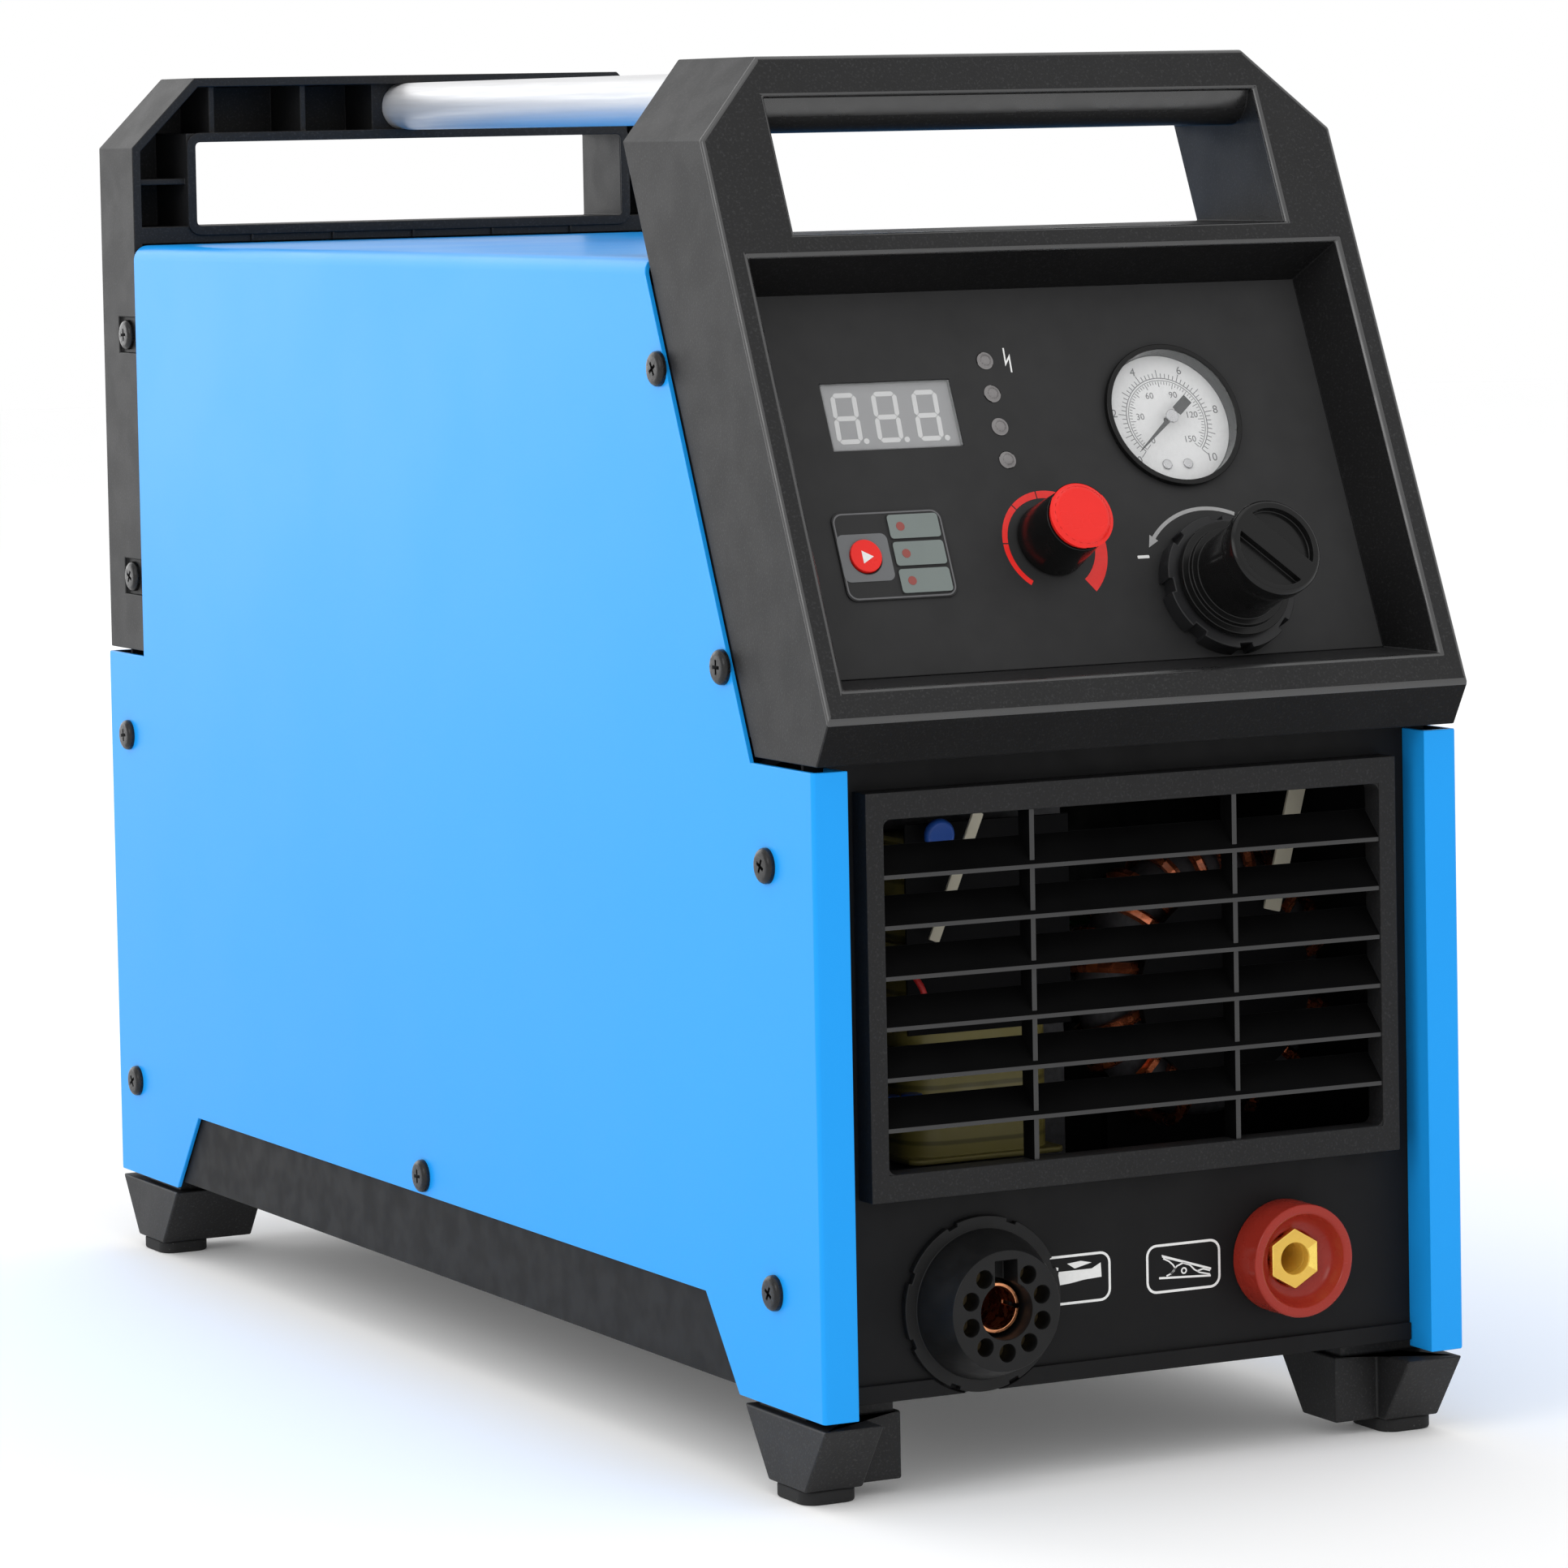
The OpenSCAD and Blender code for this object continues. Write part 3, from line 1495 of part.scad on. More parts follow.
module transformer_core() {
    x0 = -transformer_x - core_w / 2;
    y0 = transformer_y - core_leg / 2;
    color("#2c2c2c") difference() {
        box([x0, y0, core_z], [x0 + core_w, y0 + core_leg, core_z + core_h]);
        for (side = [-1, 1]) {
            x = side * (core_leg + core_window) / 2 - transformer_x;
            box([x - core_window / 2, y0 - 1, core_z + core_leg / 2],
                [x + core_window / 2, y0 + core_leg + 1, core_z + core_h - core_leg / 2]);
        }
    }
}

module transformer_winding() {
    z0 = core_z + core_leg / 2 + 0.3;
    z1 = core_z + core_h - core_leg / 2 - 0.3;
    w = core_leg + 2 * core_window - 2 * winding_gap;
    section = (z1 - z0 - bobbin_t) / 3;
    color("khaki") translate([-transformer_x, transformer_y, 0]) difference() {
        union() {
            for (i = [0:3])
                translate([0, 0, z0 + i * section]) linear_extrude(bobbin_t) round_rect(w, w + 8, 3);
            for (i = [0:2])
                translate([0, 0, z0 + i * section])
                    linear_extrude(section + eps) round_rect(w - 3, w + 4, 10);
        }
        translate([0, 0, z0 - 1]) linear_extrude(z1 - z0 + 2)
            square([core_leg + 2 * pin_gap, core_leg + 2 * pin_gap], center = true);
    }
}

// The choke's ring is clamped by a bolt to an upright plate
module choke_bracket() {
    washer_y = choke_y - choke_wind_r - choke_wire_d / 2 - move_gap;
    washer_r = choke_ring_r - 2;
    color("ivory") {
        box([choke_x - choke_plate_w / 2, choke_plate_y, pan_top],
            [choke_x + choke_plate_w / 2, choke_plate_y + choke_plate_t, choke_z + choke_plate_rise]);
        box([choke_x - choke_plate_w / 2, choke_plate_y, pan_top],
            [choke_x + choke_plate_w / 2, choke_plate_y + choke_foot_l, pan_top + choke_plate_t]);
        translate([choke_x, 0, choke_z]) rotate([-90, 0, 0]) {
            post(bolt_r, washer_y - washer_t - 0.5, choke_plate_y + eps);
            post(washer_r, washer_y - washer_t, washer_y);
        }
    }
}

module choke_core() {
    color("#3a3a2a") translate([choke_x, choke_y, choke_z]) rotate([90, 0, 0])
        rotate_extrude() translate([choke_ring_r, 0]) circle(choke_section_r);
}

// The winding's middle line at turn n: round the section, and round the ring
function choke_point(n) =
    let (ring_a = choke_start + choke_span * n / choke_loops, loop_a = 180 + 360 * n)
        [
            choke_x + (choke_ring_r + choke_wind_r * cos(loop_a)) * cos(ring_a),
            choke_y + choke_wind_r * sin(loop_a),
            choke_z + (choke_ring_r + choke_wind_r * cos(loop_a)) * sin(ring_a)
        ];
choke_path = concat(
    [[choke_point(0)[0], choke_plate_y, choke_point(0)[2]]],
    [for (i = [0:choke_loops * choke_rings]) choke_point(i / choke_rings)],
    [[choke_point(choke_loops)[0], choke_plate_y, choke_point(choke_loops)[2]]]
);
// Least gap between a loop and the next one, surface to surface
function choke_self_gap() = min([
    for (i = [0:choke_rings:(choke_loops - 2) * choke_rings], j = [0:choke_rings - 1],
        k = [choke_rings / 2:choke_rings * 3 / 2])
        norm(choke_point((i + j) / choke_rings) - choke_point((i + j + k) / choke_rings))
]) - choke_wire_d;

module choke_winding() {
    echo(choke_self_gap = choke_self_gap());
    color("#b5492a") swept_tube(choke_path, choke_wire_d / 2, 6, [1, 0, 0]);
}

// ---- Fan ----

module fan_frame() {
    color("#202020") difference() {
        union() {
            difference() {
                along(fan_front_y, fan_back_y) translate([0, fan_z]) round_rect(fan_size, fan_size, 5);
                on_rear(0, 0, fan_z) post(fan_bore_r, fan_front_y - 1, fan_back_y + 1);
            }
            on_rear(0, 0, fan_z) {
                post(fan_boss_r, fan_back_y - fan_boss_t, fan_back_y);
                for (a = [45:90:315]) rotate([0, 0, a])
                    translate([fan_boss_r - 1, -2, fan_back_y - 4])
                        cube([fan_bore_r - fan_boss_r + 2, 4, 4]);
            }
        }
        on_rear(0, 0, fan_z) post(fan_shaft_r + run_gap, fan_back_y - fan_boss_t - 1, fan_back_y - 1);
        for (x = [-1, 1], z = [-1, 1])
            on_rear(x * fan_screw, 0, fan_z + z * fan_screw)
                post(screw_d / 2, fan_front_y - 1, fan_back_y + 1);
    }
}

module fan_rotor() {
    y0 = fan_front_y + 3;
    y1 = fan_back_y - fan_boss_t - move_gap;
    blade_l = fan_bore_r - 2 - hub_r;
    color("#1a1a1a") on_rear(0, 0, fan_z) {
        post(hub_r, y0, y1);
        post(fan_shaft_r, y1 - eps, fan_back_y - 1.5);
        for (i = [0:blade_n - 1])
            rotate([0, 0, 360 * i / blade_n])
                translate([hub_r - 1, 0, (y0 + y1) / 2])
                    rotate([40, 0, 0])
                        translate([0, -1, -14]) cube([blade_l + 1, 2, 28]);
    }
}

module fan_guard() {
    wire = 1.2;
    reach = fan_screw;
    color("silver") on_rear(0, rear_panel_y, fan_z) {
        for (r = [14:10:fan_bore_r - 2])
            rotate_extrude() translate([r, wire + 2]) circle(wire);
        for (a = [45, 135])
            rotate([0, 0, a]) translate([-reach * sqrt(2) - 3, -wire, wire + 1])
                cube([2 * reach * sqrt(2) + 6, 2 * wire, 2 * wire - 0.5]);
        for (x = [-1, 1], z = [-1, 1])
            translate([x * reach, z * reach, 0]) post(4, 0, wire + 1 + eps);
    }
}

// ---- Rear fittings ----

module power_switch_body() {
    in_z = -bezel_wall;
    color("#2a2a2a") on_rear(-switch_x, cover_d, switch_z) difference() {
        union() {
            translate([0, 0, in_z - switch_body_l]) linear_extrude(switch_body_l)
                square([switch_body_w, switch_body_w], center = true);
            post(switch_bush_r, in_z - eps, eps);
            linear_extrude(switch_plate_t) round_rect(switch_plate, switch_plate, 4);
        }
        post(switch_shaft_r + run_gap, in_z - 10, 10);
    }
}

module power_switch_knob() {
    z0 = switch_plate_t + move_gap;
    color("red") on_rear(-switch_x, cover_d, switch_z) {
        post(switch_knob_r, z0, z0 + switch_disc_t);
        post(switch_shaft_r, -bezel_wall - 9, z0 + eps);
        intersection() {
            translate([-switch_bar_w / 2, -switch_knob_r, z0 + switch_disc_t - eps])
                cube([switch_bar_w, 2 * switch_knob_r, switch_knob_h - switch_disc_t]);
            post(switch_knob_r, 0, z0 + 2 * switch_knob_h);
        }
    }
}

module cable_gland() {
    color("#1c1c1c") on_rear(-gland_x, cover_d, gland_z) difference() {
        union() {
            post(gland_thread_r, -bezel_wall - 10, eps);
            cylinder(r = 14.5, h = 6, $fn = 6);
            post(12, 6 - eps, gland_l - 5);
            translate([0, 0, gland_l - 5 - eps]) cylinder(r1 = 12, r2 = 9.5, h = 5 + eps);
            translate([0, 0, -bezel_wall - 5]) cylinder(r = 14.5, h = 5, $fn = 6);
        }
        post(gland_bore / 2, -bezel_wall - 11, gland_l + 1);
    }
}

// ---- Drawing ----

translate([0, -unit_mid_y, 0]) {
    base_pan();
    cover_shell();
    front_panel();
    rear_panel();
    front_bezel();
    rear_bezel();
    handle_tube();
    foot_front_left();
    foot_front_right();
    foot_rear_left();
    foot_rear_right();
    foot_pads();
    case_screws();
    grille();
    torch_socket_body();
    torch_contacts();
    torch_gas_tube();
    work_socket_insulator();
    work_socket_insert();
    socket_nuts();
    control_plate();
    control_board();
    board_spacers();
    display_module();
    display_window();
    status_leds();
    keypad_frame();
    mode_button();
    current_knob();
    current_knob_cap();
    potentiometer_body();
    potentiometer_shaft();
    gauge_case();
    gauge_dial();
    gauge_needle();
    gauge_lens();
    regulator_body();
    regulator_nut();
    regulator_spindle();
    regulator_knob();
    air_inlet_fitting();
    solenoid_valve();
    solenoid_plunger();
    air_hoses();
    power_board();
    heat_sink();
    power_modules();
    capacitors();
    insulating_posts();
    transformer_core();
    transformer_winding();
    choke_bracket();
    choke_core();
    choke_winding();
    fan_frame();
    fan_rotor();
    fan_guard();
    power_switch_body();
    power_switch_knob();
    cable_gland();
}
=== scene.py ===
from collections import namedtuple
import math

import bpy
from mathutils import Matrix, Vector


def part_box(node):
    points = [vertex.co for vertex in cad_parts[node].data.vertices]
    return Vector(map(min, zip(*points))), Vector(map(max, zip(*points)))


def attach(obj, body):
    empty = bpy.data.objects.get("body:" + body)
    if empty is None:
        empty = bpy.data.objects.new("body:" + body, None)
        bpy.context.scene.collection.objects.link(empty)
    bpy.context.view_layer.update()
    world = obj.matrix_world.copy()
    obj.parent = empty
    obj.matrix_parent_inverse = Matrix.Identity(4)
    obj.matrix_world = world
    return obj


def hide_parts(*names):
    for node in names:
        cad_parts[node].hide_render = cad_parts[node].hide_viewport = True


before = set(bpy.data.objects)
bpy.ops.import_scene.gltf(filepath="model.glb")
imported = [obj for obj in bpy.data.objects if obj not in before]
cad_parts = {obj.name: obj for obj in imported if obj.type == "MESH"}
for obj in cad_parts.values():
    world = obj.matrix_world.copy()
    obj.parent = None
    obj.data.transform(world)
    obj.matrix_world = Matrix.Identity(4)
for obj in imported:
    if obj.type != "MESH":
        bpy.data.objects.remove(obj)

bl_info = {
    "name": "Plasma cutter unit",
    "version": (1, 0, 0),
    "blender": (4, 5, 0),
    "location": "View3D > Sidebar > Cutter",
    "description": "Finishes and fine pieces of a plasma cutter's power unit",
    "category": "Object",
}

MM = 0.001
X, Y, Z = Vector((1, 0, 0)), Vector((0, 1, 0)), Vector((0, 0, 1))

# The front bezel's leaning face: its angle, the way up it and the way out of it
LEAN = math.radians(24.1)
UP = Vector((0, math.sin(LEAN), math.cos(LEAN)))
OUT = X.cross(UP)

# The control plate: its thickness, and how far up the leaning face its foot lies
PLATE_T = 2 * MM
PLATE_S0 = 16.8 * MM

# The handle openings and the grille's opening: half the width, and foot and head
OPENING_X = 79 * MM
OPENING_Z = (345.5 * MM, 373.5 * MM)
GRILLE_X = 79 * MM
GRILLE_Z = (90.5 * MM, 187.5 * MM)


# ---- Settings ----

def size(name, description, default_mm):
    return bpy.props.FloatProperty(
        name=name, description=description, default=default_mm * MM, precision=5, unit="LENGTH"
    )


def colour(name, description, default):
    return bpy.props.FloatVectorProperty(
        name=name, description=description, default=default, size=3, min=0, max=1, subtype="COLOR"
    )


def number(name, description, default):
    return bpy.props.FloatProperty(name=name, description=description, default=default)


class CutterFinishes(bpy.types.PropertyGroup):
    """Colours of the unit's finishes"""

    paint: colour("Paint", "Colour of the sheet cover", (0.01, 0.335, 0.875))
    moulding: colour("Moulding", "Colour of the black mouldings", (0.0105, 0.0105, 0.011))
    powder: colour("Powder coat", "Colour of the panels and the pan", (0.008, 0.008, 0.0084))
    plate: colour("Plate", "Colour of the printed control plate", (0.023, 0.023, 0.0235))
    red: colour("Red", "Colour of the red caps and prints", (0.8, 0.015, 0.01))
    white: colour("White", "Colour of the white prints", (0.8, 0.8, 0.79))
    grey: colour("Grey", "Colour of the keypad's printed outline", (0.11, 0.11, 0.115))
    insulator: colour("Insulator", "Colour of the work socket's insulator", (0.31, 0.024, 0.014))
    brass: colour("Brass", "Colour of the brass pieces", (0.92, 0.66, 0.15))
    copper: colour("Copper", "Colour of the copper pieces", (0.8, 0.34, 0.16))
    tape: colour("Tape", "Colour of the winding tape", (0.2, 0.17, 0.045))


class CutterEdges(bpy.types.PropertyGroup):
    """Roundings of the edges"""

    sheet: size("Sheet", "Rounding of the sheet pieces' edges", 0.3)
    fold: size("Fold", "Rounding of the cover's front and rear folds", 1.3)
    moulded: size("Moulded", "Rounding of the feet's edges", 0.7)
    rim: size("Rim", "Rounding of the rims on the bezel's leaning face", 1.3)
    corner: size("Corner", "Rounding inside the rear lip's corners", 1.5)
    small: size("Small", "Rounding of the small mouldings' edges", 0.35)
    knob: size("Knob", "Rounding of the knobs' edges", 0.8)


class CutterPrints(bpy.types.PropertyGroup):
    """Sizes of what is printed on the plate and the panel"""

    thickness: size("Thickness", "Thickness of the printed ink", 0.06)
    line: size("Line", "Width of the keypad's outline", 0.45)
    pictogram_line: size("Pictogram line", "Width of the panel pictograms' lines", 0.7)
    scale_radius: size("Scale radius", "Radius of the current scale", 14.6)
    arrow_radius: size("Arrow radius", "Radius of the regulator's arrow", 24.2)
    digit_h: size("Digit", "Height of the display's digits", 15.2)
    digit_w: size("Digit width", "Width of the display's digits", 8.0)
    digit_pitch: size("Digit pitch", "Distance between the display's digits", 12.7)


class CutterStage(bpy.types.PropertyGroup):
    """Floor, light and camera"""

    floor: colour("Floor", "Colour of the floor", (0.97, 0.97, 0.97))
    world: number("World", "Strength of the light from all sides", 0.95)
    key: number("Key", "Power of the soft light on the left", 14.0)
    top: number("Top", "Power of the soft light from above", 4.0)
    rim: number("Rim", "Power of the soft light from behind", 26.0)
    lens: number("Lens", "Focal length of the camera", 149.49)
    shift: number("Shift", "Vertical shift of the camera's frame", -0.16734)


# ---- Modelling ----

def select(*objects):
    bpy.ops.object.select_all(action="DESELECT")
    for obj in objects:
        obj.select_set(True)
    bpy.context.view_layer.objects.active = objects[-1]


def added(operator, **settings):
    """A new primitive, with nothing else selected"""
    bpy.ops.object.select_all(action="DESELECT")
    operator(**settings)
    return bpy.context.object


def edit(obj, kind="FACE", all_of_it=False):
    """Goes into edit mode, in which a step picks, shapes and then calls done"""
    select(obj)
    bpy.ops.object.mode_set(mode="EDIT")
    bpy.ops.mesh.select_mode(type=kind)
    if all_of_it:
        bpy.ops.mesh.select_all(action="SELECT")


def done():
    bpy.ops.object.mode_set(mode="OBJECT")


def pick(obj, kind, test):
    """Goes into edit mode with only the faces, edges or vertices that pass the test selected"""
    edit(obj, kind)
    bpy.ops.mesh.select_all(action="DESELECT")
    done()
    mesh = obj.data
    for item in {"FACE": mesh.polygons, "EDGE": mesh.edges, "VERT": mesh.vertices}[kind]:
        item.select = test(item)
    bpy.ops.object.mode_set(mode="EDIT")


def weld(obj, kind="VERT"):
    """Goes into edit mode with everything selected and its doubles merged"""
    edit(obj, kind, all_of_it=True)
    bpy.ops.mesh.remove_doubles(threshold=0.01 * MM)


def extrude(move):
    bpy.ops.mesh.extrude_region_move(TRANSFORM_OT_translate={"value": move})


def edge_ends(obj, edge):
    return [obj.data.vertices[i].co for i in edge.vertices]


def bevel_picked(obj, test, width, segments):
    """Rounds the edges that pass the test"""
    pick(obj, "EDGE", test)
    bpy.ops.mesh.bevel(offset=width, segments=segments, affect="EDGES")
    done()


def bevel_sharp(obj, test, width):
    """Rounds the sharp edges that pass the test"""
    edit(obj, "EDGE")
    bpy.ops.mesh.select_all(action="DESELECT")
    bpy.ops.mesh.edges_select_sharp(sharpness=math.radians(20))
    done()
    chosen = {edge.index for edge in obj.data.edges if edge.select and test(edge)}
    bevel_picked(obj, lambda edge: edge.index in chosen, width, 4)


def settle(obj):
    select(obj)
    bpy.ops.object.transform_apply(location=True, rotation=True, scale=True)
    return obj


def seat(obj, matrix):
    """Moves a piece built round the origin to its place and applies it"""
    obj.matrix_world = matrix @ obj.matrix_world
    return settle(obj)


def modify(obj, kind, **settings):
    select(obj)
    modifier = obj.modifiers.new(kind.title(), kind)
    for key, value in settings.items():
        setattr(modifier, key, value)
    bpy.ops.object.modifier_apply(modifier=modifier.name)


def round_edges(obj, width, segments=2, angle=30):
    modify(
        obj, "BEVEL", width=width, segments=segments, limit_method="ANGLE",
        angle_limit=math.radians(angle), use_clamp_overlap=False,
    )


def smooth(obj, angle=40, weigh=True):
    select(obj)
    bpy.ops.object.shade_smooth_by_angle(angle=math.radians(angle))
    if weigh:
        modify(obj, "WEIGHTED_NORMAL", keep_sharp=True)


def recalculate(obj):
    edit(obj, all_of_it=True)
    bpy.ops.mesh.normals_make_consistent(inside=False)
    done()


def copies(obj, places):
    """One copy of a piece, with a mesh of its own, at each place; the model itself goes"""
    made = []
    for matrix in places:
        select(obj)
        bpy.ops.object.duplicate(linked=False)
        made.append(seat(bpy.context.object, matrix))
    bpy.data.objects.remove(obj)
    return made


def join(objects):
    select(*objects)
    if len(objects) > 1:
        bpy.ops.object.join()
    return bpy.context.object


def node_copy(node):
    """A merged copy of a CAD node with its flat faces made whole"""
    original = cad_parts[node]
    original.hide_viewport = False
    select(original)
    bpy.ops.object.duplicate(linked=False)
    obj = bpy.context.object
    edit(obj, "VERT", all_of_it=True)
    bpy.ops.mesh.remove_doubles(threshold=0.004 * MM)
    bpy.ops.mesh.dissolve_limited(angle_limit=math.radians(0.6))
    done()
    return obj


def islands(node):
    """The boxes of a node's separate solids"""
    edit(node_copy(node))
    bpy.ops.mesh.separate(type="LOOSE")
    done()
    boxes = []
    for part in list(bpy.context.selected_objects):
        points = [v.co for v in part.data.vertices]
        low = Vector([min(p[i] for p in points) for i in range(3)])
        high = Vector([max(p[i] for p in points) for i in range(3)])
        boxes.append((low, high))
        bpy.data.objects.remove(part)
    return boxes


def cylinder(radius, z0, z1, sides=48, centre=(0, 0)):
    return settle(added(
        bpy.ops.mesh.primitive_cylinder_add,
        vertices=sides, radius=radius, depth=z1 - z0, location=(*centre, (z0 + z1) / 2),
    ))


def disc(radius, z0, z1, rounding, segments, sides=32, centre=(0, 0)):
    """A smooth round part with rounded rims"""
    obj = cylinder(radius, z0, z1, sides, centre)
    round_edges(obj, rounding, segments)
    smooth(obj)
    return obj


def slab(low, high):
    low, high = Vector(low), Vector(high)
    return settle(added(
        bpy.ops.mesh.primitive_cube_add, size=1, location=(low + high) / 2, scale=high - low
    ))


def tile(width, height, thickness, corner, segments):
    """A thin plate round the origin with rounded corners"""
    obj = slab((-width / 2, -height / 2, 0), (width / 2, height / 2, thickness))

    def upright(edge):
        start, end = edge_ends(obj, edge)
        return start.z != end.z

    bevel_picked(obj, upright, corner, segments)
    return obj


def cut(obj, cutter):
    modify(obj, "BOOLEAN", operation="DIFFERENCE", solver="EXACT", object=cutter)
    bpy.data.objects.remove(cutter)


def mm(points):
    """Points given in millimetres"""
    return [tuple(value * MM for value in point) for point in points]


def chain(points):
    """Edges from point to point, extruded from one vertex"""
    obj = added(bpy.ops.mesh.primitive_plane_add, size=MM)
    edit(obj, "VERT")
    bpy.ops.mesh.merge(type="CENTER")
    points = [Vector(p).to_3d() for p in points]
    bpy.ops.transform.translate(value=points[0])
    for start, end in zip(points, points[1:]):
        extrude(end - start)
    done()
    return obj


def stroke(points, width, thickness):
    """A printed line of one width along points"""
    obj = chain(points)
    weld(obj, "EDGE")
    extrude((0, 0, thickness))
    done()
    modify(obj, "SOLIDIFY", thickness=width, offset=0, use_even_offset=True)
    recalculate(obj)
    return obj


def blob(points, thickness):
    """A printed or raised area with the given outline"""
    obj = chain(points)
    edit(obj, "EDGE", all_of_it=True)
    bpy.ops.mesh.edge_face_add()
    bpy.ops.mesh.select_all(action="SELECT")
    extrude((0, 0, thickness))
    done()
    recalculate(obj)
    return obj


def lathe(profile, steps=72):
    """A turned piece round Z, its closed profile given as radius and height in millimetres"""
    points = [(r * MM, 0, z * MM) for r, z in profile]
    obj = chain(points + points[:1])
    weld(obj)
    bpy.ops.mesh.spin(steps=steps, angle=math.radians(360), center=(0, 0, 0), axis=(0, 0, 1))
    done()
    weld(obj)
    done()
    recalculate(obj)
    return obj


def outline_box(width, height, corner, line, thickness, open_left=False):
    """The printed outline of a box with rounded corners"""
    obj = added(bpy.ops.mesh.primitive_plane_add, size=1)
    obj.scale = (width, height, 1)
    settle(obj)
    edit(obj, "VERT", all_of_it=True)
    bpy.ops.mesh.bevel(offset=corner, segments=6, affect="VERTICES")
    bpy.ops.mesh.select_mode(type="FACE")
    bpy.ops.mesh.select_all(action="SELECT")
    bpy.ops.mesh.inset(thickness=line)
    bpy.ops.mesh.delete(type="FACE")
    done()
    if open_left:
        pick(obj, "FACE", lambda face: face.center.x < corner - width / 2)
        bpy.ops.mesh.delete(type="FACE")
        done()
    modify(obj, "SOLIDIFY", thickness=thickness, offset=1)
    recalculate(obj)
    return obj


def arc(radius, start, end, steps):
    """Points on an arc, its angles in degrees from local X"""
    angles = [math.radians(start + (end - start) * i / steps) for i in range(steps + 1)]
    return [Vector((radius * math.cos(a), radius * math.sin(a), 0)) for a in angles]


def figure(text, height, thickness, x, y):
    """A printed figure with its middle at a point"""
    obj = added(bpy.ops.object.text_add)
    capital_share = 0.7
    obj.data.body = text
    obj.data.size = height / capital_share
    obj.data.align_x = "CENTER"
    obj.data.align_y = "CENTER"
    obj.data.extrude = thickness / 2
    obj.data.resolution_u = 3
    select(obj)
    bpy.ops.object.convert(target="MESH")
    obj = bpy.context.object
    obj.location = (x, y, thickness / 2)
    return settle(obj)


# ---- Places ----

def moved(x, y, z=0.0):
    return Matrix.Translation((x, y, z))


def turned(degrees):
    return Matrix.Rotation(math.radians(degrees), 4, "Z")


def place(origin, right, up):
    """A matrix whose local X, Y and Z are right, up and out of the surface"""
    matrix = Matrix((right, up, right.cross(up))).transposed().to_4x4()
    matrix.translation = origin
    return matrix


def middle(node):
    low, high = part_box(node)
    return (low + high) / 2


def on_plate(x, s, out=0.0):
    """On the control plate, x from the middle and s up the leaning face"""
    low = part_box("control_plate")[0]
    foot = Vector((0, low.y, low.z + PLATE_T * math.sin(LEAN)))
    return place(foot + x * X + (s - PLATE_S0) * UP + out * OUT, X, UP)


def over_node(node, out=0.0):
    """On the control plate, in front of the middle of a round node"""
    local = on_plate(0, 0).inverted() @ middle(node)
    return on_plate(local.x, local.y, out)


def on_front(x, z):
    """On the front panel's outer face"""
    return place(Vector((x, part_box("front_panel")[0].y, z)), X, Z)


def on_rear(x, z, out):
    """Before the rear bezel's outer face, seen from behind"""
    return place(Vector((x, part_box("rear_bezel")[1].y + out, z)), -X, Z)


# ---- Materials ----

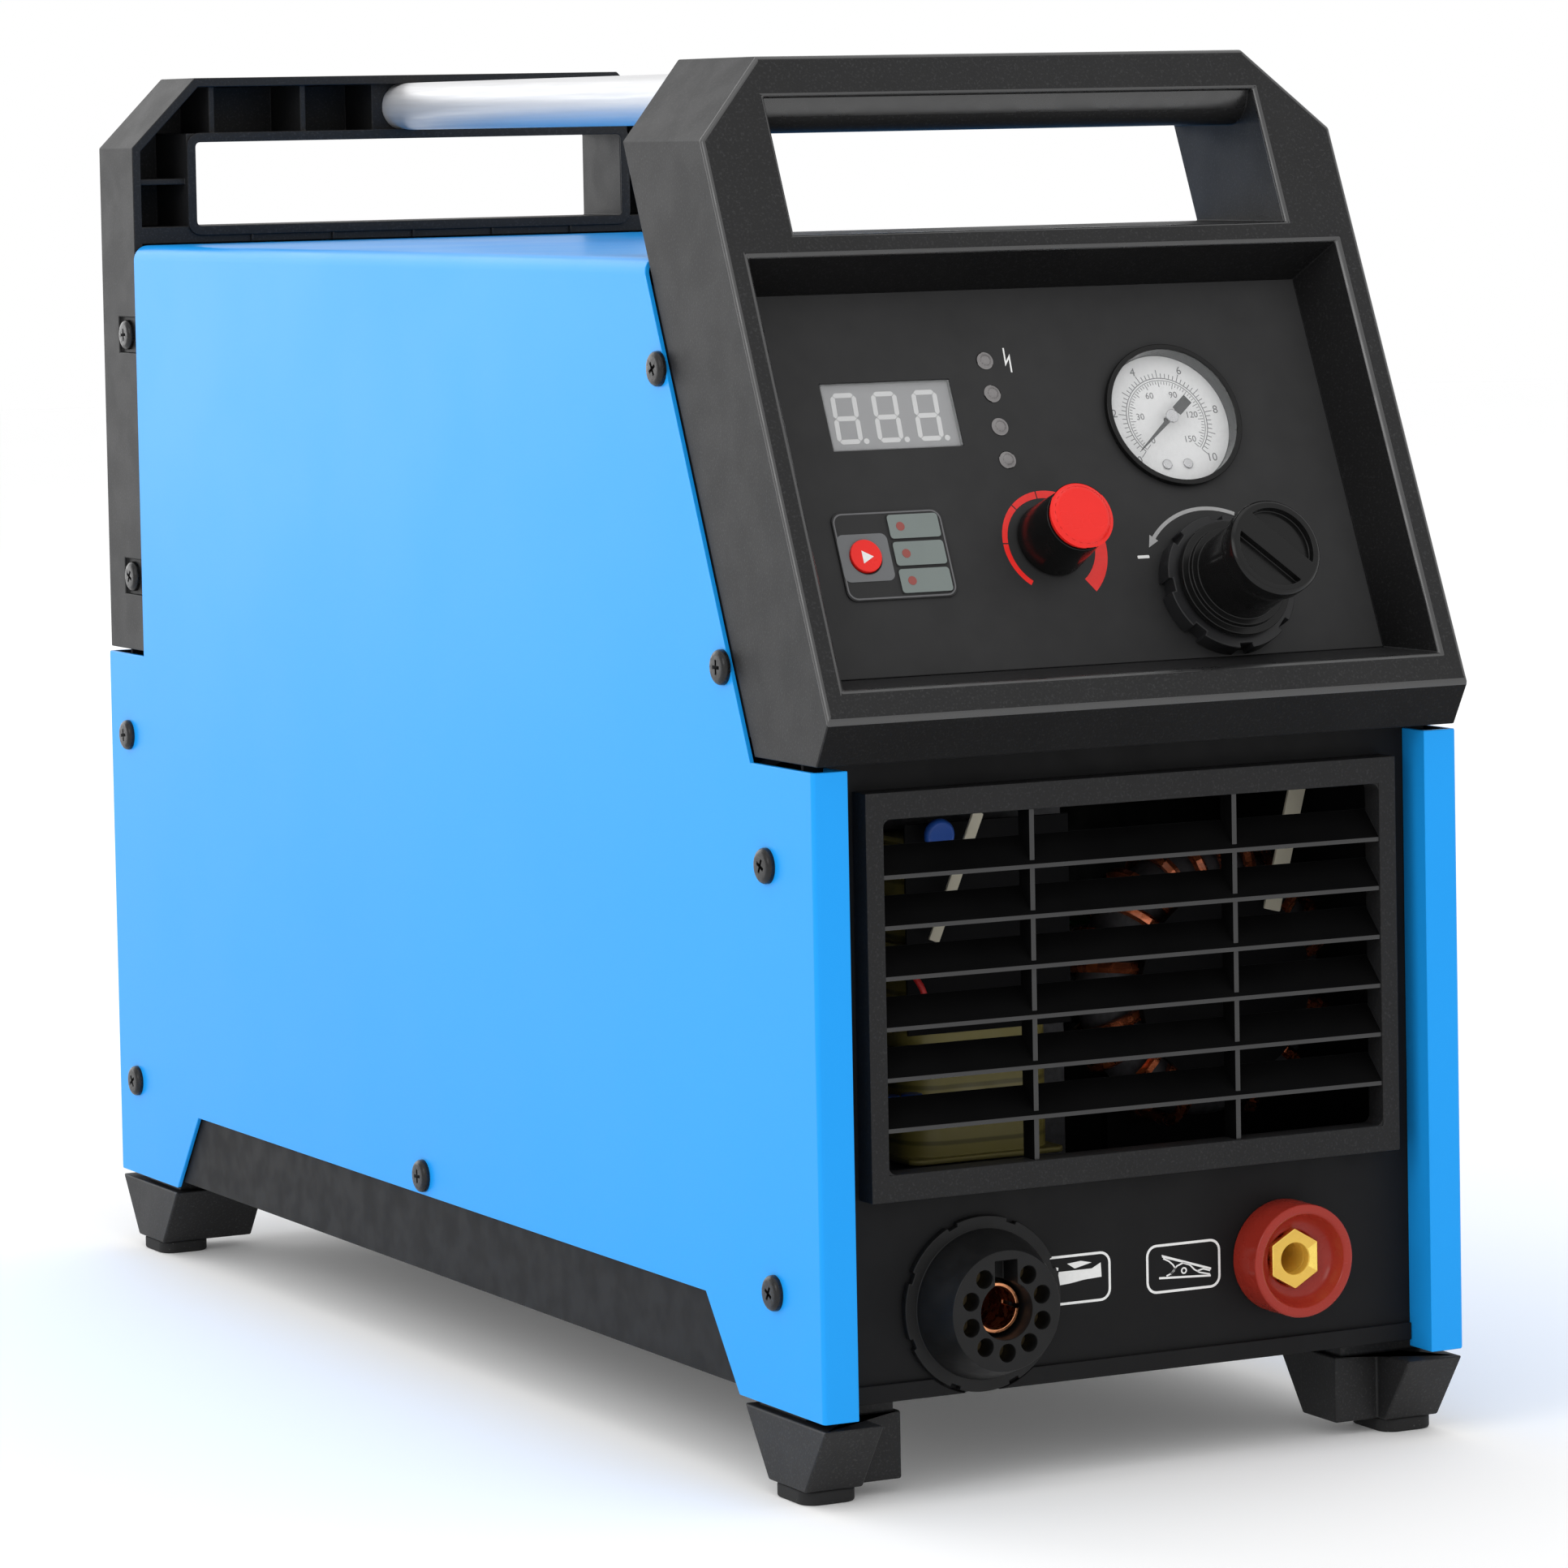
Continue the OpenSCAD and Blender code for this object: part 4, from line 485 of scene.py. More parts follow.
class Finish:
    """A node material being built round one Principled shader"""

    def __init__(self, name, base, roughness, metallic=0.0, specular=0.5):
        self.material = bpy.data.materials.new(name)
        self.material.use_nodes = True
        self.tree = self.material.node_tree
        self.shader = self.tree.nodes["Principled BSDF"]
        self.base = tuple(base)
        self.shader.inputs["Base Color"].default_value = (*base, 1)
        self.shader.inputs["Roughness"].default_value = roughness
        self.shader.inputs["Metallic"].default_value = metallic
        self.shader.inputs["Specular IOR Level"].default_value = specular
        self.coordinates = self.node("ShaderNodeTexCoord").outputs["Object"]
        self.last_bump = None

    def node(self, kind, **settings):
        made = self.tree.nodes.new(kind)
        for key, value in settings.items():
            setattr(made, key, value)
        return made

    def link(self, output, target):
        self.tree.links.new(output, target)

    def stretched(self, scale):
        """Object coordinates stretched by a scale along each axis"""
        mapping = self.node("ShaderNodeMapping")
        mapping.inputs["Scale"].default_value = scale
        self.link(self.coordinates, mapping.inputs["Vector"])
        return mapping.outputs["Vector"]

    def noise(self, feature, detail=2.0, vector=None):
        """Noise with features of about the given size"""
        made = self.node("ShaderNodeTexNoise")
        made.inputs["Scale"].default_value = 1 / feature
        made.inputs["Detail"].default_value = detail
        self.link(vector or self.coordinates, made.inputs["Vector"])
        return made.outputs["Fac"]

    def spread(self, value, low, high, at=(0.3, 0.7)):
        """A value carried from one range to another"""
        made = self.node("ShaderNodeMapRange", interpolation_type="SMOOTHSTEP")
        for name, limit in zip(("From Min", "From Max", "To Min", "To Max"), (*at, low, high)):
            made.inputs[name].default_value = limit
        self.link(value, made.inputs["Value"])
        return made.outputs["Result"]

    def mix(self, factor, a, b):
        """A mix of two colours, each a tuple or an output"""
        made = self.node("ShaderNodeMix", data_type="RGBA")
        self.link(factor, made.inputs["Factor"])
        for socket, source in ((made.inputs[6], a), (made.inputs[7], b)):
            if isinstance(source, tuple):
                socket.default_value = (*source, 1)
            else:
                self.link(source, socket)
        return made.outputs[2]

    def shades(self, amount):
        """The base colour darkened and lightened by an amount"""
        dark = tuple(c * (1 - amount) for c in self.base)
        light = tuple(min(1.0, c * (1 + amount) + 0.002) for c in self.base)
        return dark, light

    def mottle(self, feature, amount):
        """Faint drift of the colour over the surface"""
        self.paint(self.mix(self.noise(feature), *self.shades(amount)))

    def paint(self, output):
        self.link(output, self.shader.inputs["Base Color"])

    def gloss(self, feature, low, high, vector=None):
        """Roughness that drifts between two values"""
        drift = self.spread(self.noise(feature, vector=vector), low, high)
        self.link(drift, self.shader.inputs["Roughness"])

    def bump(self, height, strength, distance):
        """Adds relief from a height, on top of any relief added before"""
        made = self.node("ShaderNodeBump")
        made.inputs["Strength"].default_value = strength
        made.inputs["Distance"].default_value = distance
        self.link(height, made.inputs["Height"])
        if self.last_bump:
            self.link(self.last_bump, made.inputs["Normal"])
        self.last_bump = made.outputs["Normal"]
        self.link(self.last_bump, self.shader.inputs["Normal"])

    def grain(self, feature, strength, distance):
        self.bump(self.noise(feature, detail=3), strength, distance)


# Families of finishes. mottle is the size and amount of the colour's drift, gloss the size, fall
# and rise of the roughness, and grain the size, strength and depth of the relief. Sizes and
# depths are in metres.
Kind = namedtuple("Kind", "roughness specular metallic mottle gloss grain")
KINDS = {
    "glossy coat": Kind(0.3, 0.16, 0, (0.12, 0.02), (0.05, 0.02, 0.02), (0.0022, 0.02, 0.0001)),
    "powder coat": Kind(0.55, 0.12, 0, (0.02, 0.2), (0.01, 0.05, 0.07), (0.0012, 0.12, 0.00005)),
    "printed film": Kind(0.5, 0.2, 0, (0.008, 0.12), (0.02, 0.06, 0.06), (0.0004, 0.25, 0.00005)),
    "ink": Kind(0.45, 0.5, 0, (0.0012, 0.07), (0.003, 0.06, 0.08), (0.0003, 0.15, 0.00005)),
    "plastic": Kind(0.3, 0.4, 0, (0.01, 0.05), (0.006, 0.06, 0.08), (0.0012, 0.1, 0.00005)),
    "turned metal": Kind(0.28, 0.5, 1, (0.004, 0.14), (0.002, 0.08, 0.14), (0.0006, 0.2, 0.00002)),
    "cast metal": Kind(0.45, 0.5, 0.9, (0.006, 0.16), (0.004, 0.1, 0.14), (0.0008, 0.25, 0.00004)),
    "black steel": Kind(0.25, 0.5, 0.5, (0.0015, 0.3), (0.001, 0.05, 0.17), (0.0004, 0.2, 0.00003)),
    "sintered": Kind(0.6, 0.5, 0, (0.0015, 0.35), (0.002, 0.1, 0.15), (0.0005, 0.5, 0.00006)),
}

# Each finish of those families: its kind, its colour or the setting that holds it, and its own
# roughness and specular level where they aren't the kind's.
FINISHES = {
    "painted_sheet": ("glossy coat", "paint"),
    "powder_coat": ("powder coat", "powder"),
    # painted shade: faces inside the cabinet are coated near black, with almost no reflection, in
    # place of their own colour
    "dark_inside": ("powder coat", (0.006, 0.006, 0.0065), None, 0.05),
    # painted shade: the slat tops and the uprights' sides are coated near black, with almost no
    # reflection
    "slat_top": ("powder coat", (0.002, 0.002, 0.0021), None, 0.02),
    "printed_plate": ("printed film", "plate"),
    "slat_edge": ("plastic", "moulding", 0.3, 0.6),
    "handled_edge": ("plastic", "moulding", 0.3, 1.0),
    "black_knob": ("plastic", (0.004, 0.004, 0.004), 0.2, 0.24),
    "dark_plastic": ("plastic", (0.014, 0.014, 0.015), 0.4, 0.3),
    "socket_moulding": ("plastic", (0.006, 0.006, 0.0062), 0.42, 0.22),
    "red_plastic": ("plastic", "red", 0.3, 0.32),
    "red_brown_moulding": ("plastic", "insulator", 0.24, 0.26),
    # painted highlight: a bright gold non-metal finish stands in for the glint inside the brass bore
    "bright_bore": ("plastic", (0.85, 0.55, 0.08)),
    "key_grey": ("plastic", (0.13, 0.135, 0.14), 0.45),
    "window_grey": ("plastic", (0.17, 0.2, 0.19), 0.35),
    "lamp_lens": ("plastic", (0.2, 0.19, 0.19), 0.25),
    "mode_lamp": ("plastic", (0.26, 0.06, 0.05), 0.4),
    "display_face": ("plastic", (0.27, 0.27, 0.275), 0.4),
    "display_segment": ("plastic", (0.6, 0.6, 0.6), 0.4),
    "cream_insulator": ("plastic", (0.62, 0.58, 0.46), 0.45),
    "capacitor_sleeve": ("plastic", (0.02, 0.035, 0.08)),
    "blue_epoxy": ("plastic", (0.02, 0.09, 0.42), 0.35),
    "red_lead": ("plastic", (0.5, 0.02, 0.02), 0.4),
    "hose": ("plastic", (0.015, 0.03, 0.09), 0.35),
    "red_ink": ("ink", "red"),
    "white_ink": ("ink", "white"),
    "grey_ink": ("ink", "grey"),
    "arrow_ink": ("ink", (0.34, 0.34, 0.34)),
    "dial_white": ("ink", (0.78, 0.78, 0.78), 0.5),
    "dial_grey": ("ink", (0.16, 0.16, 0.165), 0.5),
    "dial_black": ("ink", (0.02, 0.02, 0.02), 0.4),
    "turned_brass": ("turned metal", "brass"),
    "copper_alloy": ("turned metal", "copper", 0.24),
    "tarnished_pin": ("turned metal", (0.22, 0.17, 0.09), 0.4),
    "bright_steel": ("turned metal", (0.55, 0.55, 0.56), 0.3),
    "blackened_steel": ("black steel", (0.012, 0.012, 0.0125)),
    "black_anodised": ("cast metal", (0.03, 0.03, 0.032), 0.4),
    "pressed_zinc": ("cast metal", (0.5, 0.5, 0.5), 0.4),
    "ferrite": ("sintered", (0.045, 0.045, 0.05)),
}


def plain(name, kind, base, roughness=None, specular=None):
    """A finish of one of the families"""
    roughness = kind.roughness if roughness is None else roughness
    specular = kind.specular if specular is None else specular
    f = Finish(name, base, roughness, kind.metallic, specular)
    f.mottle(*kind.mottle)
    feature, fall, rise = kind.gloss
    f.gloss(feature, roughness - fall, roughness + rise)
    f.grain(*kind.grain)
    return f.material


def grained_moulding(name, base, specks=0.4, specular=0.25):
    """Spark-textured black plastic with fine pale grains"""
    f = Finish(name, base, 0.52, specular=specular)
    fleck = f.spread(f.noise(0.0007, detail=4), 0, specks, at=(0.52, 0.72))
    drift = f.mix(f.noise(0.03), *f.shades(0.07))
    f.paint(f.mix(fleck, drift, tuple(min(1.0, v * 4 + 0.01) for v in base)))
    f.gloss(0.012, 0.5, 0.55)
    f.grain(0.0005, 0.45, 0.00007)
    return f.material


def satin_aluminium():
    """Drawn tube with streaks along its length"""
    f = Finish("satin_aluminium", (0.66, 0.66, 0.67), 0.45, metallic=0.35)
    along = f.stretched((1.0, 0.02, 1.0))
    f.paint(f.mix(f.noise(0.0011, vector=along), *f.shades(0.09)))
    f.gloss(0.0008, 0.4, 0.54, vector=along)
    f.bump(f.noise(0.0006, vector=along), 0.12, 0.00003)
    return f.material


def rubber():
    """Matt rubber with pale dust in its grain"""
    f = Finish("rubber", (0.016, 0.016, 0.0165), 0.8, specular=0.3)
    dust = f.spread(f.noise(0.0009, detail=4), 0, 0.7, at=(0.66, 0.74))
    f.paint(f.mix(dust, f.base, (0.12, 0.12, 0.12)))
    f.grain(0.0007, 0.5, 0.00008)
    return f.material


def clear(name, alpha):
    """Clear window that shows what lies behind it"""
    f = Finish(name, (0.8, 0.82, 0.83), 0.12)
    f.gloss(0.01, 0.08, 0.16)
    f.shader.inputs["Alpha"].default_value = alpha
    return f.material


def winding_tape(base):
    """Yellow tape wound in overlapping turns"""
    f = Finish("winding_tape", base, 0.4)
    bands = f.node("ShaderNodeTexWave", wave_type="BANDS", bands_direction="Z")
    bands.inputs["Scale"].default_value = 60
    bands.inputs["Distortion"].default_value = 0.6
    f.link(f.coordinates, bands.inputs["Vector"])
    overlap = f.spread(bands.outputs["Fac"], 0, 1, at=(0.75, 0.98))
    f.paint(f.mix(overlap, *reversed(f.shades(0.3))))
    f.gloss(0.004, 0.3, 0.5)
    f.bump(bands.outputs["Fac"], 0.3, 0.0001)
    return f.material


def enamelled_wire():
    """Copper wire under clear enamel"""
    f = Finish("enamelled_wire", (0.62, 0.16, 0.06), 0.22, metallic=0.85)
    f.mottle(0.003, 0.2)
    f.gloss(0.004, 0.16, 0.3)
    f.shader.inputs["Coat Weight"].default_value = 0.6
    f.shader.inputs["Coat Roughness"].default_value = 0.1
    return f.material


def circuit_board():
    """Green solder mask with raised tracks"""
    f = Finish("circuit_board", (0.012, 0.13, 0.045), 0.35)
    cells = f.node("ShaderNodeTexBrick", offset=0.35, squash=0.7)
    cells.inputs["Scale"].default_value = 180
    cells.inputs["Mortar Size"].default_value = 0.06
    cells.inputs["Color1"].default_value = (0.010, 0.11, 0.038, 1)
    cells.inputs["Color2"].default_value = (0.014, 0.15, 0.052, 1)
    cells.inputs["Mortar"].default_value = (0.04, 0.24, 0.08, 1)
    f.link(f.coordinates, cells.inputs["Vector"])
    f.paint(cells.outputs["Color"])
    f.gloss(0.01, 0.28, 0.42)
    f.bump(cells.outputs["Fac"], 0.25, 0.00004)
    return f.material


MATERIALS = {}


def finish(name):
    """A finish of the unit; all of them are made when the first is asked for"""
    if MATERIALS:
        return MATERIALS[name]
    settings = bpy.context.scene.cutter_finishes
    for key, (kind, base, *own) in FINISHES.items():
        shade = getattr(settings, base) if isinstance(base, str) else base
        MATERIALS[key] = plain(key, KINDS[kind], shade, *own)
    for key, share, *own in (
        ("grained_moulding", 1), ("foot_moulding", 1.15),
        # The recess walls' moulding is darkened to 0.4, with little reflection: painted shade
        ("recess_moulding", 0.4, 0.3, 0.1), ("grille_moulding", 1, 0.3, 0.2),
    ):
        MATERIALS[key] = grained_moulding(key, tuple(v * share for v in settings.moulding), *own)
    MATERIALS["satin_aluminium"] = satin_aluminium()
    MATERIALS["rubber"] = rubber()
    MATERIALS["clear_acrylic"] = clear("clear_acrylic", 0.14)
    MATERIALS["gauge_glass"] = clear("gauge_glass", 0.06)
    MATERIALS["winding_tape"] = winding_tape(settings.tape)
    MATERIALS["enamelled_wire"] = enamelled_wire()
    MATERIALS["circuit_board"] = circuit_board()
    return MATERIALS[name]


# ---- Pieces ----

def coat(obj, material):
    """Gives a piece or a shown node one material"""
    if obj.data.materials:
        for i in range(len(obj.data.materials)):
            obj.data.materials[i] = material
    else:
        obj.data.materials.append(material)


def coat_nodes(**rows):
    """Gives each named CAD node its finish"""
    for node, name in rows.items():
        coat(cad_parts[node], finish(name))


def keep(obj, name, coating, node, body="cabinet", stands=False):
    """Names a finished piece, coats it, hangs it on its body's empty and, where it stands for a CAD
    node, hides that node
    """
    obj.name = name
    obj.data.name = name
    coat(obj, finish(coating))
    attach(obj, body)
    if stands:
        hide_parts(node)
    return obj


def dress(node, name, coating, edge, body="cabinet", segments=2, angle=30, prepare=None):
    """A copy of a CAD node with its edges rounded, standing for the node"""
    obj = node_copy(node)
    if prepare:
        prepare(obj)
    round_edges(obj, edge, segments, angle)
    smooth(obj)
    return keep(obj, name, coating, node, body, stands=True)


def second_finish(obj, coating, test):
    """Gives the faces that pass the test a finish of their own"""
    obj.data.materials.append(finish(coating))
    for face in obj.data.polygons:
        if test(face):
            face.material_index = len(obj.data.materials) - 1


class CutterStep:
    """What every piece's operator shares"""

    bl_options = {"REGISTER", "UNDO"}

    def execute(self, context):
        self.edges = context.scene.cutter_edges
        self.prints = context.scene.cutter_prints
        self.make()
        return {"FINISHED"}


def round_folds(obj, radius):
    """Rounds the upright outside folds at the front and rear of the cover"""
    low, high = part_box("cover_shell")
    near = 0.1 * MM

    def upright_corner(edge):
        a, b = edge_ends(obj, edge)
        outside = min(abs(a.x), abs(b.x)) > high.x - near
        at_end = min(abs(a.y - low.y), abs(a.y - high.y)) < near
        return outside and at_end and abs(a.y - b.y) < near and abs(a.z - b.z) > 20 * MM

    bevel_picked(obj, upright_corner, radius, 4)


def inside_cover(face, low, high):
    """Whether a face of the cover, which fills the given box, looks into the cabinet"""
    wall = 3 * MM
    side = face.center.x * face.normal.x < 0 and abs(face.center.x) > high.x - wall
    top = face.normal.z < -0.5 and face.center.z > high.z - wall
    front = face.normal.y > 0.5 and face.center.y < low.y + wall
    rear = face.normal.y < -0.5 and face.center.y > high.y - wall
    return side or top or front or rear


class CUTTER_OT_cabinet(CutterStep, bpy.types.Operator):
    """Finish the sheet cover, the panels and the base pan"""

    bl_idname = "cutter.cabinet"
    bl_label = "Cabinet"

    def make(self):
        edge = self.edges.sheet
        cover = dress(
            "cover_shell", "sheet_cover", "painted_sheet", edge,
            prepare=lambda obj: round_folds(obj, self.edges.fold),
        )
        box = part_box("cover_shell")
        # The cover's inner faces get a near-black finish in place of the blue paint: painted shade
        # inside the cabinet
        second_finish(cover, "dark_inside", lambda face: inside_cover(face, *box))
        dress("front_panel", "front_sheet", "powder_coat", edge)
        dress("rear_panel", "rear_sheet", "powder_coat", edge)
        dress("base_pan", "folded_pan", "powder_coat", edge)


class CUTTER_OT_feet(CutterStep, bpy.types.Operator):
    """Finish the corner feet and their pads"""

    bl_idname = "cutter.feet"
    bl_label = "Feet"

    def make(self):
        edge = self.edges.moulded
        for corner in ("front_left", "front_right", "rear_left", "rear_right"):
            dress(f"foot_{corner}", f"corner_foot_{corner}", "foot_moulding", edge, segments=3)
        dress("foot_pads", "rubber_pads", "rubber", edge, segments=3)


def reach_out(obj):
    """How far a piece reaches out of the leaning face, from the origin"""
    return max(v.co.dot(OUT) for v in obj.data.vertices)


def round_front(obj, rim):
    """Rounds every rim on the leaning face"""
    near_face = reach_out(obj) - 0.02 * MM
    bevel_sharp(obj, lambda edge: min(v.dot(OUT) for v in edge_ends(obj, edge)) > near_face, rim)


def recess_wall(face, reach):
    """Whether a face is a side or upper wall of the recess; reach is the leaning face's height"""
    height = face.center.dot(OUT)
    below_handle = face.center.z < OPENING_Z[0] - 2 * MM
    in_recess = reach - 40 * MM < height < reach - 1.2 * MM and abs(face.center.x) < 95 * MM
    drafted = 0.02 < face.normal.dot(OUT) < 0.9 and face.normal.dot(UP) < 0.3
    return below_handle and in_recess and drafted


def handled_edge(face, reach):
    """Whether a face is a worn rim of the leaning face, or the front of the rounded grip"""
    facing, height = face.normal.dot(OUT), face.center.dot(OUT)
    rim_depth = 1.4 * MM
    rim = height > reach - rim_depth and 0.15 < facing < 0.985
    in_opening = abs(face.center.x) < OPENING_X and face.center.z > OPENING_Z[0] + 8 * MM
    grip = in_opening and height < reach - rim_depth and facing > 0.5 and abs(face.normal.x) < 0.3
    return rim or grip


class CUTTER_OT_bezels(CutterStep, bpy.types.Operator):
    """Finish the front and rear bezels"""

    bl_idname = "cutter.bezels"
    bl_label = "Bezels"

    lip: size("Lip", "Width of the raised lip round the rear opening", 3.2)
    rib: size("Rib", "Width of the sill's ribs", 0.7)
    rib_step: size("Rib step", "Distance between the sill's ribs", 29.6)

    def make(self):
        front = dress(
            "front_bezel", "front_moulding", "grained_moulding", self.edges.small,
            prepare=lambda obj: round_front(obj, self.edges.rim),
        )
        reach = reach_out(front)
        # The recess's side and upper walls get a darkened moulding: painted shade
        second_finish(front, "recess_moulding", lambda face: recess_wall(face, reach))
        second_finish(front, "handled_edge", lambda face: handled_edge(face, reach))
        dress("rear_bezel", "rear_moulding", "grained_moulding", self.edges.small)
        face_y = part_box("rear_bezel")[0].y
        self.rear_lip(face_y)
        self.sill_ribs(face_y)

    def rear_lip(self, face_y):
        """A raised lip with round corners, on the side of the rear bezel that faces the front"""
        foot, head = OPENING_Z
        ring = outline_box(
            2 * (OPENING_X + self.lip), head - foot + 2 * self.lip,
            self.edges.corner + self.lip, self.lip, MM,
        )
        round_edges(ring, self.edges.small)
        smooth(ring)
        seat(ring, place(Vector((0, face_y, (foot + head) / 2)), X, Z))
        keep(ring, "rear_lip", "grained_moulding", "rear_bezel")

    def sill_ribs(self, face_y):
        """Thin upright ribs between the lip and the cover"""
        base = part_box("cover_shell")[1].z + 0.4 * MM
        rib = slab((-self.rib / 2, 0, 0), (self.rib / 2, OPENING_Z[0] - self.lip - base, MM))
        round_edges(rib, 0.2 * MM)
        smooth(rib)
        places = [
            place(Vector((i * self.rib_step, face_y, base)), X, Z) for i in (-2, -1, 0, 1, 2)
        ]
        keep(join(copies(rib, places)), "sill_ribs", "grained_moulding", "rear_bezel")


class CUTTER_OT_handle(CutterStep, bpy.types.Operator):
    """Finish the carrying tube"""

    bl_idname = "cutter.handle"
    bl_label = "Handle"

    def make(self):
        dress("handle_tube", "carrying_tube", "satin_aluminium", self.edges.small)


def cross_screw(head_r, head_h, shank_r, length):
    """A pan-head screw with a cross recess, its seat on the origin and its head along +Z"""
    obj = cylinder(head_r, 0, head_h, 40)
    bevel_picked(
        obj, lambda edge: min(v.z for v in edge_ends(obj, edge)) > head_h * 0.9, head_h * 0.72, 6
    )
    arm, half_width = 0.62 * head_r, 0.13 * head_r
    for turn in (0, 90):
        slot = slab((-arm, -half_width, head_h * 0.3), (arm, half_width, head_h * 2))
        pick(slot, "FACE", lambda face: face.normal.z < -0.9)
        bpy.ops.transform.resize(value=(0.45, 0.6, 1))
        done()
        cut(obj, seat(slot, turned(turn)))
    shank = cylinder(shank_r, -length, 0.1 * MM, 20)
    obj = join([shank, obj])
    smooth(obj, 35, weigh=False)
    return obj


class CUTTER_OT_screws(CutterStep, bpy.types.Operator):
    """Make the cross-recess screws of the cover, the rear bezel and the feet"""

    bl_idname = "cutter.screws"
    bl_label = "Screws"

    head_r: size("Head radius", "Radius of the pan heads", 5.0)
    head_h: size("Head height", "Height of the pan heads", 2.2)
    shank_r: size("Shank radius", "Radius of the threads", 2.4)
    side_l: size("Side length", "Length of the screws in the cover and the bezel", 8.0)
    foot_l: size("Foot length", "Length of the screws in the feet", 21.0)

    def make(self):
        sides, feet = [], []
        for low, high in islands("case_screws"):
            centre = (low + high) / 2
            turn = turned(31 * (len(sides) % 7))
            if high.z - low.z > high.x - low.x + MM:
                seat_z = low.z + self.head_h
                feet.append(place(Vector((centre.x, centre.y, seat_z)), X, -Y) @ turn)
            else:
                side = math.copysign(1, centre.x)
                seat_x = side * (max(abs(low.x), abs(high.x)) - self.head_h)
                sides.append(place(Vector((seat_x, centre.y, centre.z)), side * Y, Z) @ turn)
        made = []
        for length, places in ((self.side_l, sides), (self.foot_l, feet)):
            made += copies(cross_screw(self.head_r, self.head_h, self.shank_r, length), places)
        keep(join(made), "cross_recess_screws", "blackened_steel", "case_screws", stands=True)


class CUTTER_OT_grille(CutterStep, bpy.types.Operator):
    """Finish the louvred grille"""

    bl_idname = "cutter.grille"
    bl_label = "Grille"

    slat_rise: size("Slat rise", "How far a slat rises towards its rear edge", 7.5)
    slat_edge: size("Slat edge", "Height of a slat's front edge", 1.3)
    upright_x: size("Upright", "Distance of the uprights from the middle", 32.3)
    upright_w: size("Upright width", "Width of the uprights", 1.6)
    corner: size("Corner", "Rounding of the opening's corners", 2.2)
    overlap: size("Overlap", "How far slats and uprights run into the frame", 0.2)

    def make(self):
        low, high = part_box("grille")
        rounding = self.edges.small
        parts = [self.surround(low, high, rounding)]
        parts += self.slats(low, rounding * 0.6)
        parts += self.uprights(low, high)
        grille = join(parts)
        smooth(grille)
        keep(grille, "louvred_grille", "grille_moulding", "grille", stands=True)
        # Slat tops and upright sides get a near-black finish: painted shade between the slats
        second_finish(grille, "slat_top", self.within)
        behind_frame = low.y + 0.4 * MM
        second_finish(
            grille, "slat_edge", lambda face: face.normal.y < -0.85 and face.center.y > behind_frame
        )
        self.fillets(low, high, rounding)

    def within(self, face):
        """Whether a face is the top of a slat or a side of an upright; these faces get painted shade
        """
        slat = face.normal.y < -0.5 and face.normal.z > 0.5
        beside = abs(face.normal.x) > 0.9 and abs(face.center.x) < self.upright_x + self.upright_w
        return slat or beside

    def surround(self, low, high, rounding):
        ring = slab(low, (high.x, high.y - self.overlap, high.z))
        cut(ring, slab((-GRILLE_X, low.y - MM, GRILLE_Z[0]), (GRILLE_X, high.y + MM, GRILLE_Z[1])))
        round_edges(ring, rounding)
        return ring

    def slats(self, low, rounding):
        """Six slats that slope up and back, each a parallelogram drawn out along X"""
        rise, half, count = self.slat_rise, self.slat_edge / 2, 6
        outline = [(0, -half), (rise, rise - half), (rise, rise + half), (0, half)]
        slat = blob(outline, 2 * (GRILLE_X + self.overlap))
        round_edges(slat, rounding)
        left, front = -GRILLE_X - self.overlap, low.y + 0.5 * MM
        pitch = (GRILLE_Z[1] - GRILLE_Z[0]) / (count + 1)
        lowest = GRILLE_Z[0] + 0.86 * pitch
        return copies(slat, [
            place(Vector((left, front, lowest + i * pitch)), Y, Z) for i in range(count)
        ])

    def uprights(self, low, high):
        made = []
        half, front, back = self.upright_w / 2, low.y + 1.5 * MM, high.y - self.overlap
        for x in (-self.upright_x, self.upright_x):
            bar = slab(
                (x - half, front, GRILLE_Z[0] - self.overlap),
                (x + half, back, GRILLE_Z[1] + self.overlap),
            )
            round_edges(bar, 0.2 * MM)
            made.append(bar)
        return made

    def fillets(self, low, high, rounding):
        """Rounded fills in the four inner corners of the frame"""
        radius = self.corner
        curve = [Vector((radius, radius, 0)) + p for p in arc(radius, 270, 180, 8)]
        fillet = blob([(0, 0, 0)] + curve, high.y - low.y - 2 * rounding)
        corners = (
            (-GRILLE_X, GRILLE_Z[0], X, Z), (GRILLE_X, GRILLE_Z[0], Z, -X),
            (GRILLE_X, GRILLE_Z[1], -X, -Z), (-GRILLE_X, GRILLE_Z[1], -Z, X),
        )
        places = [
            place(Vector((x, high.y - rounding, z)), right, up) for x, z, right, up in corners
        ]
        keep(join(copies(fillet, places)), "grille_fillets", "grille_moulding", "grille")


